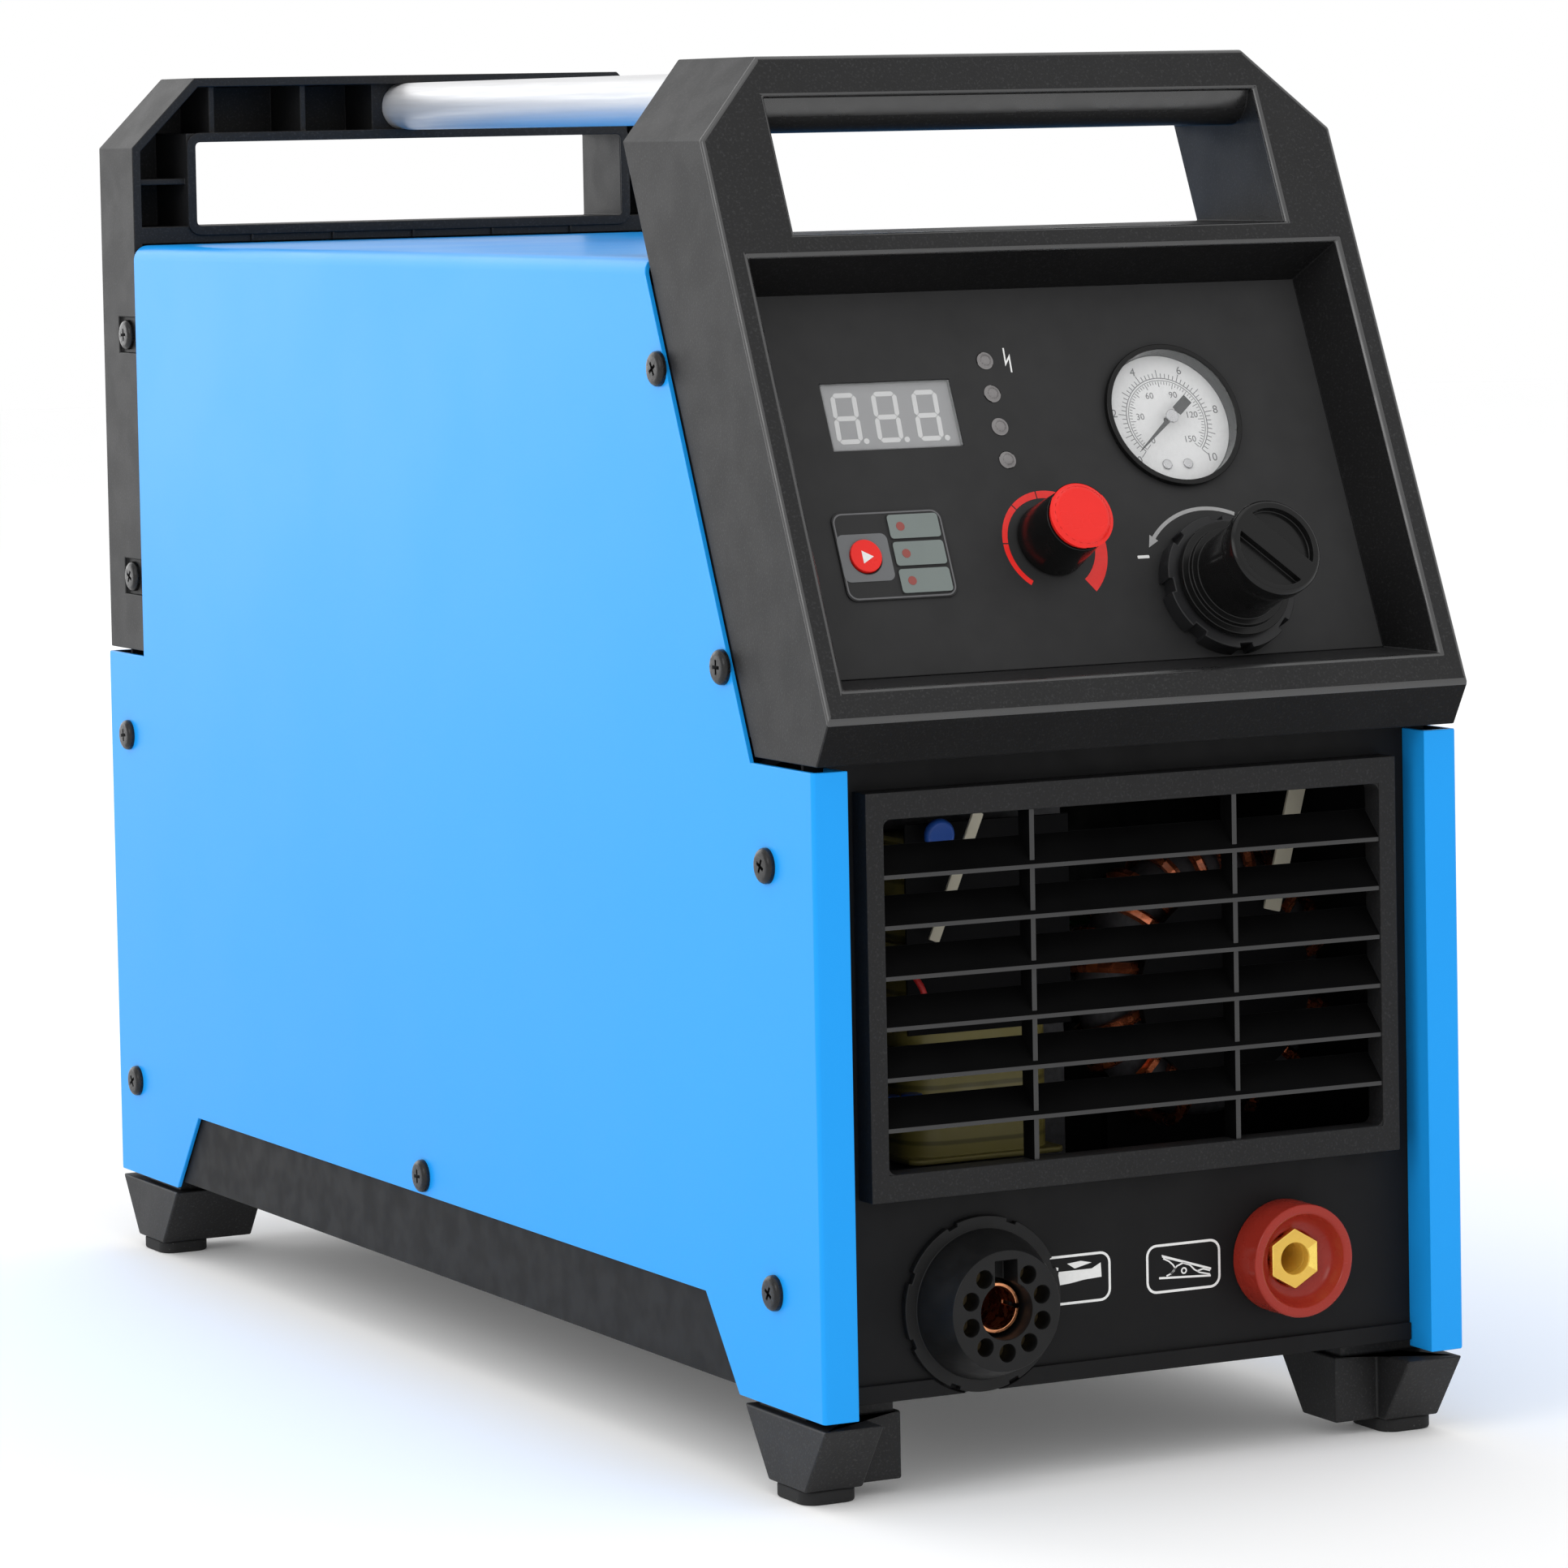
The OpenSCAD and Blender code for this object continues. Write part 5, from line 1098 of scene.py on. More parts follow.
class CUTTER_OT_sockets(CutterStep, bpy.types.Operator):
    """Finish the torch socket and the work socket"""

    bl_idname = "cutter.sockets"
    bl_label = "Sockets"

    hexagon_r: size("Hexagon", "Radius of the insert's hexagon over its corners", 8.66)
    barrel_r: size("Barrel", "Radius of the insert's barrel", 7.4)
    bore_r: size("Bore", "Radius of the insert's bore", 4.5)

    def make(self):
        edge = self.edges.small
        dress("torch_socket_body", "torch_socket_moulding", "socket_moulding", edge)
        dress("torch_contacts", "contact_sleeves", "tarnished_pin", 0.1 * MM)
        dress("torch_gas_tube", "split_gas_tube", "copper_alloy", 0.2 * MM)
        self.collar(self.edges.knob)
        self.insert(edge)
        dress("socket_nuts", "socket_back_nuts", "dark_plastic", edge)

    def insert(self, rounding):
        """The work socket's threaded insert with its hexagonal head"""
        head = cylinder(self.hexagon_r, 4.7 * MM, 7.7 * MM, 6)
        barrel = cylinder(self.barrel_r, -30 * MM, 4.9 * MM)
        for part in (head, barrel):
            cut(part, cylinder(self.bore_r, -22 * MM, 9 * MM))
            round_edges(part, rounding, 3)
        insert = join([head, barrel])
        smooth(insert)
        centre = middle("work_socket_insert")
        seat(insert, on_front(centre.x, centre.z))
        keep(insert, "hexagonal_insert", "turned_brass", "work_socket_insert", stands=True)
        # The faces round the bore get a bright gold non-metal finish: a painted highlight
        near_bore = self.bore_r + 0.5 * MM
        second_finish(insert, "bright_bore", lambda face: math.hypot(
            face.center.x - centre.x, face.center.z - centre.z) < near_bore)

    def collar(self, rounding):
        """The work socket's insulating collar, with its dished front"""
        collar = lathe([
            (7.7, -18), (11.8, -18), (11.8, 0), (16, 0), (16, 12.7), (13.3, 12.7), (12.4, 9.2),
            (11.0, 6.9), (9.1, 6.2), (7.7, 6.2),
        ])
        round_edges(collar, rounding, 4, 50)
        smooth(collar, 50)
        centre = middle("work_socket_insulator")
        seat(collar, on_front(centre.x, centre.z))
        node = "work_socket_insulator"
        keep(collar, "work_socket_collar", "red_brown_moulding", node, stands=True)


def torch_sign(line, ink_t):
    """A torch with its nozzle and trigger, inside a box that is open on its left"""
    box = outline_box(32 * MM, 13.9 * MM, 3.3 * MM, line, ink_t, open_left=True)
    seat(box, moved(-22.05 * MM, 54.95 * MM))
    cut(box, slab((-50 * MM, 40 * MM, -MM), (-25.4 * MM, 70 * MM, MM)))
    body = (
        (-22.6, 57.4), (-23.3, 53.6), (-18.9, 53.9), (-14.75, 54.5), (-9.0, 54.8), (-9.2, 58.8),
        (-12.1, 57.4),
    )
    nozzle = ((-24.9, 59.1), (-25.4, 58.1), (-22.8, 57.8), (-22.7, 58.6))
    trigger = ((-19.9, 59.45), (-17.5, 57.9), (-12.1, 59.1), (-15.5, 59.85))
    return join([box] + [blob(mm(outline), ink_t) for outline in (body, nozzle, trigger)])


def clamp_sign(line, ink_t):
    """An earth clamp inside a box"""
    box = outline_box(24 * MM, 13.8 * MM, 3.3 * MM, line, ink_t)
    seat(box, moved(17.4 * MM, 55.1 * MM))
    jaws = (
        ((10.4, 59), (10.6, 58.2), (26.3, 53.3), (26.4, 53.9)),
        ((9.5, 52.2), (26.2, 51.4), (26.2, 51.95), (9.5, 52.8)),
    )
    lines = (
        (
            (10.9, 57.9), (12.7, 57.0), (14.0, 55.9), (14.7, 54.9), (14.3, 54.1), (13.3, 53.4),
            (11.9, 52.9),
        ),
        (
            (13.3, 53.3), (15.3, 55.4), (17.3, 56.1), (19.5, 55.3), (20.9, 53.9), (22.6, 52.9),
            (26, 52.1),
        ),
        ((21.9, 53.4), (23.8, 53.8), (26, 53.1)),
        [(17.55 + 0.75 * p.x, 53.9 + 0.75 * p.y) for p in arc(1, 0, 360, 16)],
    )
    parts = [blob(mm(jaw), ink_t) for jaw in jaws]
    parts += [stroke(mm(points), 0.42 * MM, ink_t) for points in lines]
    return join([box] + parts)


class CUTTER_OT_signs(CutterStep, bpy.types.Operator):
    """Print the torch and clamp pictograms on the front panel"""

    bl_idname = "cutter.signs"
    bl_label = "Panel pictograms"

    def make(self):
        for name, sign in (("torch_pictogram", torch_sign), ("clamp_pictogram", clamp_sign)):
            drawing = sign(self.prints.pictogram_line, self.prints.thickness)
            keep(seat(drawing, on_front(0, 0)), name, "white_ink", "front_panel")


class CUTTER_OT_plate(CutterStep, bpy.types.Operator):
    """Finish the control plate and the board behind it"""

    bl_idname = "cutter.plate"
    bl_label = "Control plate"

    def make(self):
        dress("control_plate", "printed_control_plate", "printed_plate", 0.25 * MM)
        coat_nodes(control_board="circuit_board", board_spacers="turned_brass")


def segment_bar(length, width, thickness):
    """One bar of a digit, pointed at both ends, along X"""
    half, side = length / 2, width / 2
    return blob([
        (-half, 0), (side - half, side), (half - side, side), (half, 0),
        (half - side, -side), (side - half, -side),
    ], thickness)


def digit(width, height, bar, thickness):
    """Seven bars and a dot, centred on the origin and slightly slanted"""
    gap = 0.25 * MM
    across, up = width - bar, (height - bar) / 2
    flat = [moved(0, y) for y in (-up, 0, up)]
    upright = [
        moved(x, y) @ turned(90) for x in (-across / 2, across / 2) for y in (-up / 2, up / 2)
    ]
    bars = copies(segment_bar(across - gap, bar, thickness), flat)
    bars += copies(segment_bar(up - gap, bar, thickness), upright)
    bars.append(cylinder(bar * 0.6, 0, thickness, 20, (width / 2 + bar * 0.75, -up)))
    obj = join(bars)
    slant = Matrix.Identity(4)
    slant[0][1] = math.tan(math.radians(3))
    obj.data.transform(slant)
    return obj


class CUTTER_OT_display(CutterStep, bpy.types.Operator):
    """Make the three-digit display and its window"""

    bl_idname = "cutter.display"
    bl_label = "Display"

    bar: size("Bar", "Width of the digits' bars", 1.4)

    def make(self):
        dress("display_module", "display_housing", "display_face", 0.15 * MM)
        dress("display_window", "display_pane", "clear_acrylic", 0.15 * MM)
        prints = self.prints
        face = 0.5 * MM - PLATE_T
        centre = over_node("display_window")
        room_for_dot = 0.8 * MM
        places = [
            centre @ moved(i * prints.digit_pitch - room_for_dot, 0, face) for i in (-1, 0, 1)
        ]
        model = digit(prints.digit_w, prints.digit_h, self.bar, prints.thickness)
        keep(join(copies(model, places)), "display_figures", "display_segment", "display_module")


class CUTTER_OT_lamps(CutterStep, bpy.types.Operator):
    """Make the status lamps and the sign beside the first"""

    bl_idname = "cutter.lamps"
    bl_label = "Status lamps"

    def make(self):
        dress("status_leds", "lamp_lenses", "lamp_lens", 0.6 * MM, segments=4, angle=25)
        zigzag = mm([(-0.5, 3.7), (-0.8, -1.1), (0.8, 1.1), (0.5, -3.7)])
        bolt = stroke(zigzag, 0.45 * MM, self.prints.thickness)
        seat(bolt, on_plate(-12.6 * MM, 108.3 * MM))
        keep(bolt, "lightning_sign", "white_ink", "control_plate")


class CUTTER_OT_keypad(CutterStep, bpy.types.Operator):
    """Make the keypad with its outline, windows, lamps and button"""

    bl_idname = "cutter.keypad"
    bl_label = "Keypad"

    frame_top: size("Frame top", "Height of the keypad above the plate", 0.6)
    window_top: size("Window top", "Height of the keypad's windows above the plate", 1.0)
    window_s: size("Window place", "Place of the middle window up the plate", 52.0)
    window_step: size("Window step", "Distance between the keypad's windows", 8.0)

    def make(self):
        ink_t = self.prints.thickness
        dress("keypad_frame", "keypad_film", "printed_plate", 0.15 * MM)
        outline = outline_box(33.6 * MM, 25.3 * MM, 3 * MM, self.prints.line, ink_t)
        seat(outline, over_node("keypad_frame", self.frame_top))
        keep(outline, "keypad_outline", "grey_ink", "keypad_frame")
        self.key_patch(ink_t)
        self.windows(ink_t)
        button = "mode_button"
        dress(button, "round_button", "red_plastic", 0.35 * MM, body=button, segments=3)
        mark = blob(mm([(-1.3, 1.9), (2.1, 0), (-1.3, -1.9)]), ink_t)
        seat(mark, over_node(button, 1.4 * MM))
        keep(mark, "button_triangle", "white_ink", button, body=button)

    def key_patch(self, ink_t):
        """The grey rounded square round the button"""
        patch = tile(15.6 * MM, 13.9 * MM, ink_t * 2, 2 * MM, 6)
        cut(patch, cylinder(5 * MM, -MM, MM))
        smooth(patch)
        seat(patch, over_node("mode_button", self.frame_top))
        keep(patch, "key_patch", "key_grey", "keypad_frame")

    def windows(self, ink_t):
        """Three smoked windows, each with a small lamp under its left quarter"""
        panes, lamps = [], []
        for i in (-1, 0, 1):
            s = self.window_s + i * self.window_step
            pane = tile(15.7 * MM, 7 * MM, ink_t * 2, MM, 4)
            panes.append(seat(pane, on_plate(-54.35 * MM, s, self.window_top)))
            lamp = cylinder(1.3 * MM, 0, ink_t * 3.2, 24)
            lamps.append(seat(lamp, on_plate(-58.6 * MM, s, self.window_top)))
        keep(join(panes), "mode_panes", "window_grey", "keypad_frame")
        keep(join(lamps), "mode_lamps", "mode_lamp", "keypad_frame")


SCALE_START, SCALE_END = 232, -54
SCALE_PIECES = ((SCALE_START, 178), (176.5, 130), (128.5, 96), (94.5, SCALE_END))


def scale_width(angle):
    """Width of the current scale, which grows clockwise from its start"""
    share = (SCALE_START - angle) / (SCALE_START - SCALE_END)
    return (1.5 + 3.2 * share ** 2.2) * MM


def current_scale(radius, thickness):
    """Four pieces of a swoosh that widens clockwise round the knob"""
    pieces = []
    for start, end in SCALE_PIECES:
        steps = max(6, int((start - end) / 6))
        angles = [start + (end - start) * i / steps for i in range(steps + 1)]
        outer = [arc(radius + scale_width(a), a, a, 1)[0] for a in angles]
        inner = [arc(radius, a, a, 1)[0] for a in reversed(angles)]
        pieces.append(blob(outer + inner, thickness))
    return join(pieces)


class CUTTER_OT_current(CutterStep, bpy.types.Operator):
    """Make the current knob and its printed scale"""

    bl_idname = "cutter.current"
    bl_label = "Current knob"

    def make(self):
        knob = "current_knob"
        dress(knob, "knob_skirt", "black_knob", 0.3 * MM, body=knob)
        dress("current_knob_cap", "knob_cap", "red_plastic", 0.7 * MM, body=knob, segments=4)
        coat_nodes(potentiometer_body="pressed_zinc", potentiometer_shaft="bright_steel")
        scale = current_scale(self.prints.scale_radius - MM, self.prints.thickness)
        seat(scale, over_node("potentiometer_shaft") @ moved(0, -0.8 * MM))
        keep(scale, "current_scale", "red_ink", "control_plate")


# The dial: the angle of its zero in degrees, and how far it goes clockwise from there
DIAL_START, DIAL_SWEEP = 225, 270


def dial_ticks(radius, count, length, long_length, width, thickness, start=DIAL_START):
    """Graduations round a dial, every fifth one longer; a negative radius has them point inwards"""
    ticks = []
    for reach, every_fifth in ((length, False), (long_length, True)):
        model = slab((0, -width / 2, 0), (reach, width / 2, thickness))
        ticks += copies(model, [
            turned(start - DIAL_SWEEP * i / count) @ moved(radius, 0)
            for i in range(count + 1) if (i % 5 == 0) == every_fifth
        ])
    return join(ticks)


def dial_figures(values, radius, height, thickness):
    """Figures spread evenly round a dial"""
    spots = arc(radius, DIAL_START, DIAL_START - DIAL_SWEEP, len(values) - 1)
    return join([
        figure(str(value), height, thickness, spot.x, spot.y) for value, spot in zip(values, spots)
    ])


def pointer(length, tail, width, thickness):
    """A tapered pointer with a short broad tail, along +X"""
    neck = -2.6 * MM
    upper = [
        (-tail, 1.1 * width), (neck, 1.1 * width), (neck, 0.5 * width), (0, 0.55 * width),
        (length, 0.12 * width),
    ]
    return blob(upper + [(x, -y) for x, y in reversed(upper)], thickness)


class CUTTER_OT_gauge(CutterStep, bpy.types.Operator):
    """Make the pressure gauge's dial and pointer"""

    bl_idname = "cutter.gauge"
    bl_label = "Gauge"

    dial_z: size("Dial", "Height of the dial against the plate", -3.0)
    pointer_z: size("Pointer", "Height of the pointer against the plate", -0.2)
    rest_turn: number("Rest angle", "Direction of the pointer at rest, in degrees", 218.5)

    def make(self):
        dress("gauge_case", "gauge_housing", "black_knob", 0.4 * MM, segments=3)
        dress("gauge_dial", "dial_disc", "dial_white", 0.1 * MM)
        dress("gauge_lens", "gauge_glass_disc", "gauge_glass", 0.15 * MM)
        dial = over_node("gauge_dial", self.dial_z)
        self.markings(dial, self.prints.thickness)
        self.pins(dial)
        self.needle(over_node("gauge_dial", self.pointer_z))

    def markings(self, dial, ink_t):
        """Two rings of graduations with their figures"""
        ends = (DIAL_START, DIAL_START - DIAL_SWEEP)
        marks = join([
            dial_ticks(13.1 * MM, 50, 1.3 * MM, 2.3 * MM, 0.22 * MM, ink_t),
            dial_ticks(-11.9 * MM, 60, 0.9 * MM, 1.7 * MM, 0.18 * MM, ink_t, DIAL_START - 180),
            stroke(arc(12.9 * MM, *ends, 60), 0.24 * MM, ink_t),
            stroke(arc(12.2 * MM, *ends, 60), 0.18 * MM, ink_t),
            dial_figures((0, 2, 4, 6, 8, 10), 16.7 * MM, 2.4 * MM, ink_t),
            dial_figures((0, 30, 60, 90, 120, 150), 8.5 * MM, 1.9 * MM, ink_t),
        ])
        keep(seat(marks, dial), "dial_markings", "dial_grey", "gauge_dial")

    def pins(self, dial):
        """The dial's two screws and the pointer's stop"""
        parts = [
            disc(1.5 * MM, 0, 0.55 * MM, 0.35 * MM, 3, 24, (x * MM, -13.4 * MM)) for x in (-3.4, 3.4)
        ]
        stop = cylinder(0.55 * MM, 0, 0.9 * MM, 16)
        round_edges(stop, 0.2 * MM)
        parts.append(seat(stop, moved(-13.6 * MM, -12.6 * MM)))
        keep(seat(join(parts), dial), "dial_screws", "bright_steel", "gauge_dial")

    def needle(self, centre):
        arm = pointer(15.6 * MM, 8.2 * MM, 1.45 * MM, 0.3 * MM)
        shaft = cylinder(0.7 * MM, -10 * MM, 0.1 * MM, 16)
        arm = seat(join([shaft, arm]), centre @ turned(self.rest_turn))
        node = "gauge_needle"
        keep(arm, "gauge_pointer", "dial_black", node, body=node, stands=True)
        hub = seat(disc(2.0 * MM, 0, 0.85 * MM, 0.3 * MM, 3), centre)
        keep(hub, "pointer_hub", "bright_steel", node, body=node)


class CUTTER_OT_regulator(CutterStep, bpy.types.Operator):
    """Make the air regulator's knob, nut and printed arrow"""

    bl_idname = "cutter.regulator"
    bl_label = "Regulator"

    def make(self):
        coat_nodes(regulator_body="pressed_zinc", regulator_spindle="bright_steel")
        dress("regulator_nut", "notched_nut", "dark_plastic", 0.4 * MM, segments=3)
        centre = over_node("regulator_spindle")
        quarter = centre @ turned(90) @ centre.inverted()
        knob = "regulator_knob"
        dress(
            knob, "push_lock_knob", "black_knob", self.edges.small, body=knob,
            prepare=lambda obj: seat(obj, quarter),
        )
        self.arrow(centre, self.prints.arrow_radius, self.prints.thickness)
        minus = tile(3.8 * MM, 0.9 * MM, self.prints.thickness, 0.2 * MM, 2)
        seat(minus, on_plate(16.1 * MM, 47.6 * MM))
        keep(minus, "minus_mark", "white_ink", "control_plate")

    def arrow(self, centre, radius, ink_t):
        """A curved arrow round the knob that points to the minus mark"""
        start, end = 66, 138
        sweep = stroke(arc(radius, start, end, 18), 1.1 * MM, ink_t)
        foot, ahead = arc(radius, end, end + 7, 1)
        forward = (ahead - foot).normalized()
        side = Vector((-forward.y, forward.x, 0)) * 1.5 * MM
        head = blob([foot + side, foot + 3.6 * MM * forward, foot - side], ink_t)
        arrow = seat(join([sweep, head]), centre)
        keep(arrow, "regulator_arrow", "arrow_ink", "control_plate")


class CUTTER_OT_air(CutterStep, bpy.types.Operator):
    """Finish the air inlet, the valve and the hoses"""

    bl_idname = "cutter.air"
    bl_label = "Air parts"

    def make(self):
        dress("air_inlet_fitting", "air_inlet", "turned_brass", self.edges.small)
        coat_nodes(solenoid_valve="dark_plastic", solenoid_plunger="bright_steel", air_hoses="hose")


def small_can(radius, height):
    """A small capacitor standing on the origin, its top set in"""
    obj = cylinder(radius, 0, height, 32)
    round_edges(obj, radius * 0.16, 3)
    pick(obj, "FACE", lambda face: face.normal.z > 0.99)
    bpy.ops.mesh.inset(thickness=radius * 0.2)
    extrude((0, 0, -radius * 0.05))
    done()
    smooth(obj)
    return obj


def lead(points, radius):
    """An insulated lead along points, made from a curve"""
    curve = bpy.data.curves.new("lead", "CURVE")
    curve.dimensions = "3D"
    curve.bevel_depth = radius
    curve.bevel_resolution = 3
    curve.resolution_u = 10
    spline = curve.splines.new("BEZIER")
    spline.bezier_points.add(len(points) - 1)
    for point, co in zip(spline.bezier_points, points):
        point.co = co
        point.handle_left_type = point.handle_right_type = "AUTO"
    obj = bpy.data.objects.new("lead", curve)
    bpy.context.scene.collection.objects.link(obj)
    select(obj)
    bpy.ops.object.convert(target="MESH")
    obj = bpy.context.object
    smooth(obj, 60, weigh=False)
    return obj


def tie(start, end, width):
    """A flat slanted strap from one point to another"""
    along = end - start
    half_t = 0.6 * MM
    strap = slab((0, -width / 2, -half_t), (along.length, width / 2, half_t))
    round_edges(strap, 0.4 * MM)
    smooth(strap)
    right = along.normalized()
    return seat(strap, place(start, right, Y.cross(right)))


class CUTTER_OT_power(CutterStep, bpy.types.Operator):
    """Finish the power parts and add the small ones seen through the grille"""

    bl_idname = "cutter.power"
    bl_label = "Power parts"

    def make(self):
        # The choke bracket takes the near-black inside finish, which paints the cabinet's inner
        # shade
        coat_nodes(
            heat_sink="black_anodised", power_modules="dark_plastic", power_board="circuit_board",
            insulating_posts="cream_insulator", choke_bracket="dark_inside", choke_core="ferrite",
            choke_winding="enamelled_wire",
        )
        dress("capacitors", "smoothing_capacitors", "capacitor_sleeve", 1.2 * MM, segments=3)
        dress("transformer_core", "ferrite_core", "ferrite", 0.8 * MM)
        dress("transformer_winding", "taped_winding", "winding_tape", 0.3 * MM)
        winding_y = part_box("transformer_winding")[0].y
        self.sheet(winding_y - 1.4 * MM, winding_y - 0.6 * MM)
        self.front_parts(winding_y - 6.5 * MM)

    def sheet(self, front, back):
        """An insulating sheet before the upper half of the winding, coated in the near-black painted
        shade of the cabinet's inside
        """
        sheet = slab((-56 * MM, front, 123 * MM), (-4 * MM, back, 182 * MM))
        round_edges(sheet, 0.2 * MM)
        keep(sheet, "insulating_sheet", "dark_inside", "transformer_winding")

    def front_parts(self, y):
        """Small parts just behind the grille, on the board's front edge"""
        board = "power_board"
        half_t = 1.5 * MM
        epoxy = disc(4.6 * MM, -half_t, half_t, 0.9 * half_t, 4)
        seat(epoxy, place(Vector((-47.9 * MM, y, 179.1 * MM)), X, Z))
        keep(epoxy, "disc_capacitor", "blue_epoxy", board)
        cans = copies(small_can(3 * MM, 8 * MM), [
            place(Vector((x * MM, y, 108 * MM)), X, -Y) for x in (-58, -65)
        ])
        keep(join(cans), "small_capacitors", "blue_epoxy", board)
        ties = [
            tie(
                Vector((top_x * MM, y + back * MM, top_z * MM)),
                Vector((foot_x * MM, y + back * MM, foot_z * MM)), width * MM,
            )
            for top_x, top_z, foot_x, foot_z, back, width in (
                (-35.5, 184.8, -50.3, 149.7, 0, 3.4), (75.5, 184.4, 66.2, 148.8, 12, 5.5),
            )
        ]
        keep(join(ties), "cable_ties", "cream_insulator", board)
        route = ((-58, 4.5, 143), (-55.4, 0, 139), (-53.4, 0, 134), (-53, 4.5, 129))
        points = [Vector((x * MM, y + back * MM, z * MM)) for x, back, z in route]
        keep(lead(points, 0.9 * MM), "sense_lead", "red_lead", board)


class CUTTER_OT_fan(CutterStep, bpy.types.Operator):
    """Finish the fan and its guard"""

    bl_idname = "cutter.fan"
    bl_label = "Fan"

    def make(self):
        edge = self.edges.small
        dress("fan_frame", "fan_housing", "dark_plastic", edge)
        dress("fan_rotor", "fan_impeller", "dark_plastic", edge, body="fan_rotor")
        coat_nodes(fan_guard="bright_steel")


class CUTTER_OT_rear(CutterStep, bpy.types.Operator):
    """Finish the power switch and the cable gland"""

    bl_idname = "cutter.rear"
    bl_label = "Rear fittings"

    figure_r: size("Figures", "Distance of the switch's figures from its axis", 19.0)

    def make(self):
        knob = "power_switch_knob"
        dress("power_switch_body", "switch_plate", "dark_plastic", 0.6 * MM, segments=3)
        dress(knob, "switch_knob", "red_plastic", self.edges.knob, body=knob, segments=3)
        dress("cable_gland", "gland", "grained_moulding", self.edges.small)
        self.figures(self.figure_r, self.prints.thickness)

    def figures(self, radius, ink_t):
        """Plain figures at the switch's two positions"""
        marks = join([
            figure(text, 4 * MM, ink_t, x, z) for text, x, z in (("0", 0, radius), ("1", radius, 0))
        ])
        centre = middle("power_switch_knob")
        plate_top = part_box("power_switch_body")[1].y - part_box("rear_bezel")[1].y
        seat(marks, on_rear(centre.x, centre.z, plate_top))
        keep(marks, "switch_figures", "white_ink", "power_switch_body")


# ---- Stage ----

def studio_world(strength):
    """Soft light from all sides, white behind the object"""
    world = bpy.data.worlds.new("studio")
    bpy.context.scene.world = world
    world.use_nodes = True
    tree = world.node_tree
    tree.nodes.clear()
    light = tree.nodes.new("ShaderNodeBackground")
    light.inputs["Strength"].default_value = strength
    white = tree.nodes.new("ShaderNodeBackground")
    for background in (light, white):
        background.inputs["Color"].default_value = (1, 1, 1, 1)
    rays = tree.nodes.new("ShaderNodeLightPath").outputs
    seen = rays["Is Camera Ray"]
    for name in ("Is Glossy Ray", "Is Transmission Ray"):
        either = tree.nodes.new("ShaderNodeMath")
        either.operation = "MAXIMUM"
        tree.links.new(seen, either.inputs[0])
        tree.links.new(rays[name], either.inputs[1])
        seen = either.outputs[0]
    mix = tree.nodes.new("ShaderNodeMixShader")
    output = tree.nodes.new("ShaderNodeOutputWorld")
    for source, target in (
        (seen, mix.inputs[0]), (light.outputs[0], mix.inputs[1]), (white.outputs[0], mix.inputs[2]),
        (mix.outputs[0], output.inputs[0]),
    ):
        tree.links.new(source, target)


def soft_light(name, power, width, location, target):
    light = bpy.data.lights.new(name, "AREA")
    light.shape = "SQUARE"
    light.size = width
    light.energy = power
    obj = bpy.data.objects.new(name, light)
    obj.location = location
    obj.rotation_euler = (Vector(target) - Vector(location)).to_track_quat("-Z", "Y").to_euler()
    obj.visible_camera = False
    bpy.context.scene.collection.objects.link(obj)


def floor_finish(base):
    """Pale floor with a barely visible unevenness"""
    f = Finish("floor", base, 0.8, specular=0.1)
    f.mottle(0.6, 0.01)
    f.shader.inputs["Emission Color"].default_value = (1, 1, 1, 1)
    f.shader.inputs["Emission Strength"].default_value = 0.07
    return f.material


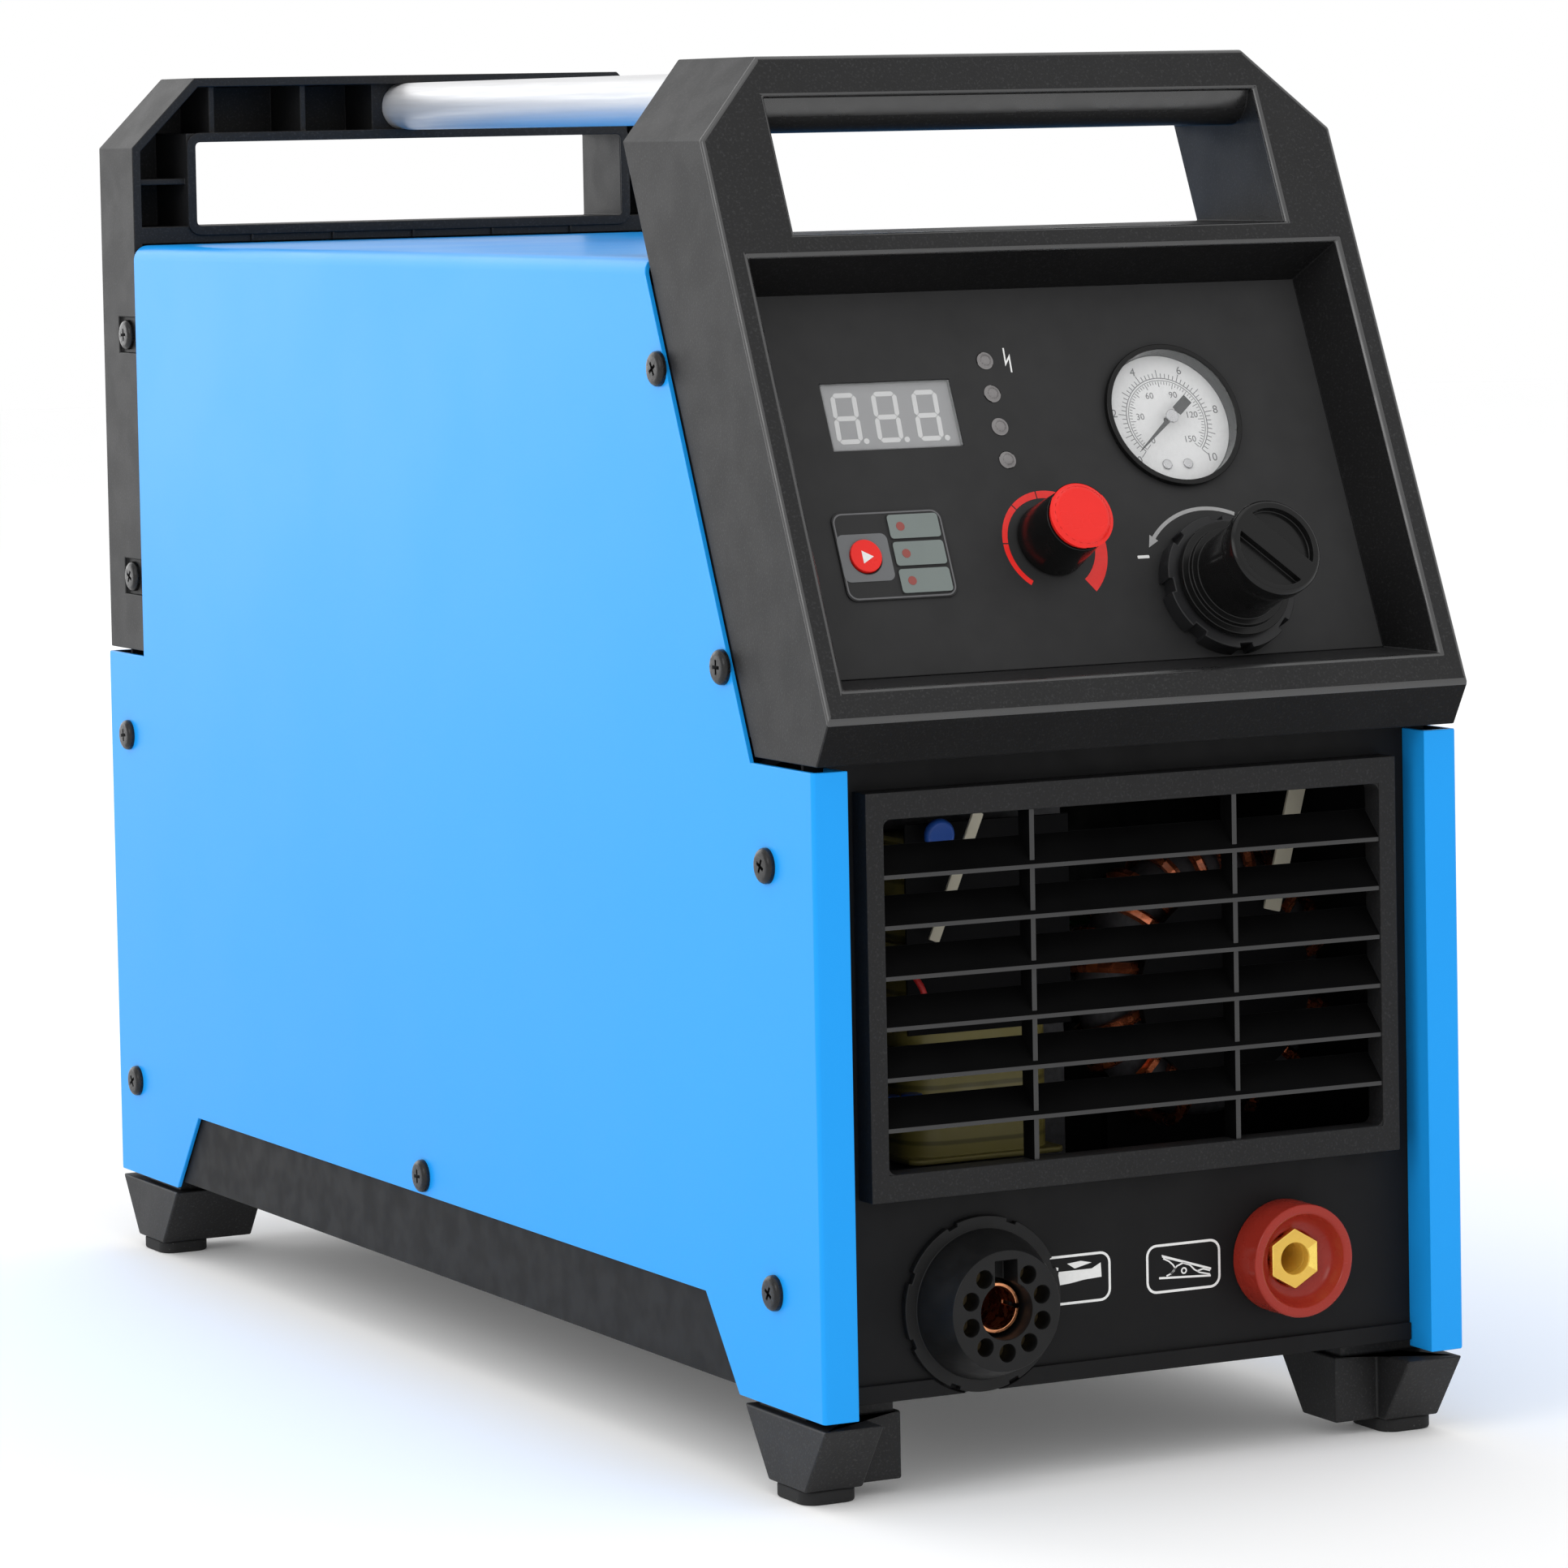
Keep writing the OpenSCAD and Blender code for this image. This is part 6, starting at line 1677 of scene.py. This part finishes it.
class CUTTER_OT_stage(bpy.types.Operator):
    """Lay the floor, light the unit and set the camera"""

    bl_idname = "cutter.stage"
    bl_label = "Stage"

    def execute(self, context):
        stage = context.scene.cutter_stage
        floor = added(
            bpy.ops.mesh.primitive_circle_add, vertices=96, radius=7, fill_type="NGON"
        )
        floor.name = "floor"
        coat(floor, floor_finish(stage.floor))
        studio_world(stage.world)
        middle_height = (0, 0, 0.2)
        soft_light("key", stage.key, 1.4, (-2.4, -0.9, 1.5), middle_height)
        soft_light("top", stage.top, 1.6, (-0.4, -0.4, 2.4), middle_height)
        soft_light("rim", stage.rim, 2.2, (-0.9, 2.9, 1.1), middle_height)
        self.camera(stage)
        context.scene.view_settings.view_transform = "Standard"
        return {"FINISHED"}

    def camera(self, stage):
        """The camera's place and turn, with its up tilted slightly"""
        data = bpy.data.cameras.new("camera")
        data.lens = stage.lens
        data.sensor_width = 36
        data.sensor_height = 36
        data.shift_y = stage.shift
        data.clip_end = 50
        obj = bpy.data.objects.new("camera", data)
        bpy.context.scene.collection.objects.link(obj)
        azimuth, elevation, roll = math.radians(-27.012), math.radians(3.525), math.radians(-1.089)
        look = Vector((
            -math.sin(azimuth) * math.cos(elevation), math.cos(azimuth) * math.cos(elevation),
            -math.sin(elevation),
        ))
        right = look.cross(Z).normalized()
        up = right.cross(look)
        rolled_right = math.cos(roll) * right + math.sin(roll) * up
        rolled_up = -math.sin(roll) * right + math.cos(roll) * up
        obj.matrix_world = place(Vector((-0.8984, -1.81235, 0.3771)), rolled_right, rolled_up)
        bpy.context.scene.camera = obj


# ---- Add-on ----

STEPS = (
    CUTTER_OT_stage, CUTTER_OT_cabinet, CUTTER_OT_feet, CUTTER_OT_bezels, CUTTER_OT_handle,
    CUTTER_OT_screws, CUTTER_OT_grille, CUTTER_OT_sockets, CUTTER_OT_signs, CUTTER_OT_plate,
    CUTTER_OT_display, CUTTER_OT_lamps, CUTTER_OT_keypad, CUTTER_OT_current, CUTTER_OT_gauge,
    CUTTER_OT_regulator, CUTTER_OT_air, CUTTER_OT_power, CUTTER_OT_fan, CUTTER_OT_rear,
)
SETTINGS = {
    "cutter_finishes": CutterFinishes, "cutter_edges": CutterEdges,
    "cutter_prints": CutterPrints, "cutter_stage": CutterStage,
}


class CUTTER_PT_steps(bpy.types.Panel):
    """The unit's settings and steps"""

    bl_idname = "CUTTER_PT_steps"
    bl_label = "Plasma cutter unit"
    bl_space_type = "VIEW_3D"
    bl_region_type = "UI"
    bl_category = "Cutter"

    def draw(self, context):
        for name, group in SETTINGS.items():
            box = self.layout.box()
            for setting in group.__annotations__:
                box.prop(getattr(context.scene, name), setting)
        for step in STEPS:
            self.layout.operator(step.bl_idname)


CLASSES = (*SETTINGS.values(), *STEPS, CUTTER_PT_steps)


def register():
    for made in CLASSES:
        bpy.utils.register_class(made)
    for name, group in SETTINGS.items():
        setattr(bpy.types.Scene, name, bpy.props.PointerProperty(type=group))


def unregister():
    for name in SETTINGS:
        delattr(bpy.types.Scene, name)
    for made in reversed(CLASSES):
        bpy.utils.unregister_class(made)


def main():
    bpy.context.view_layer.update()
    register()
    for step in STEPS:
        group, name = step.bl_idname.split(".")
        getattr(getattr(bpy.ops, group), name)()


if __name__ == "__main__":
    main()
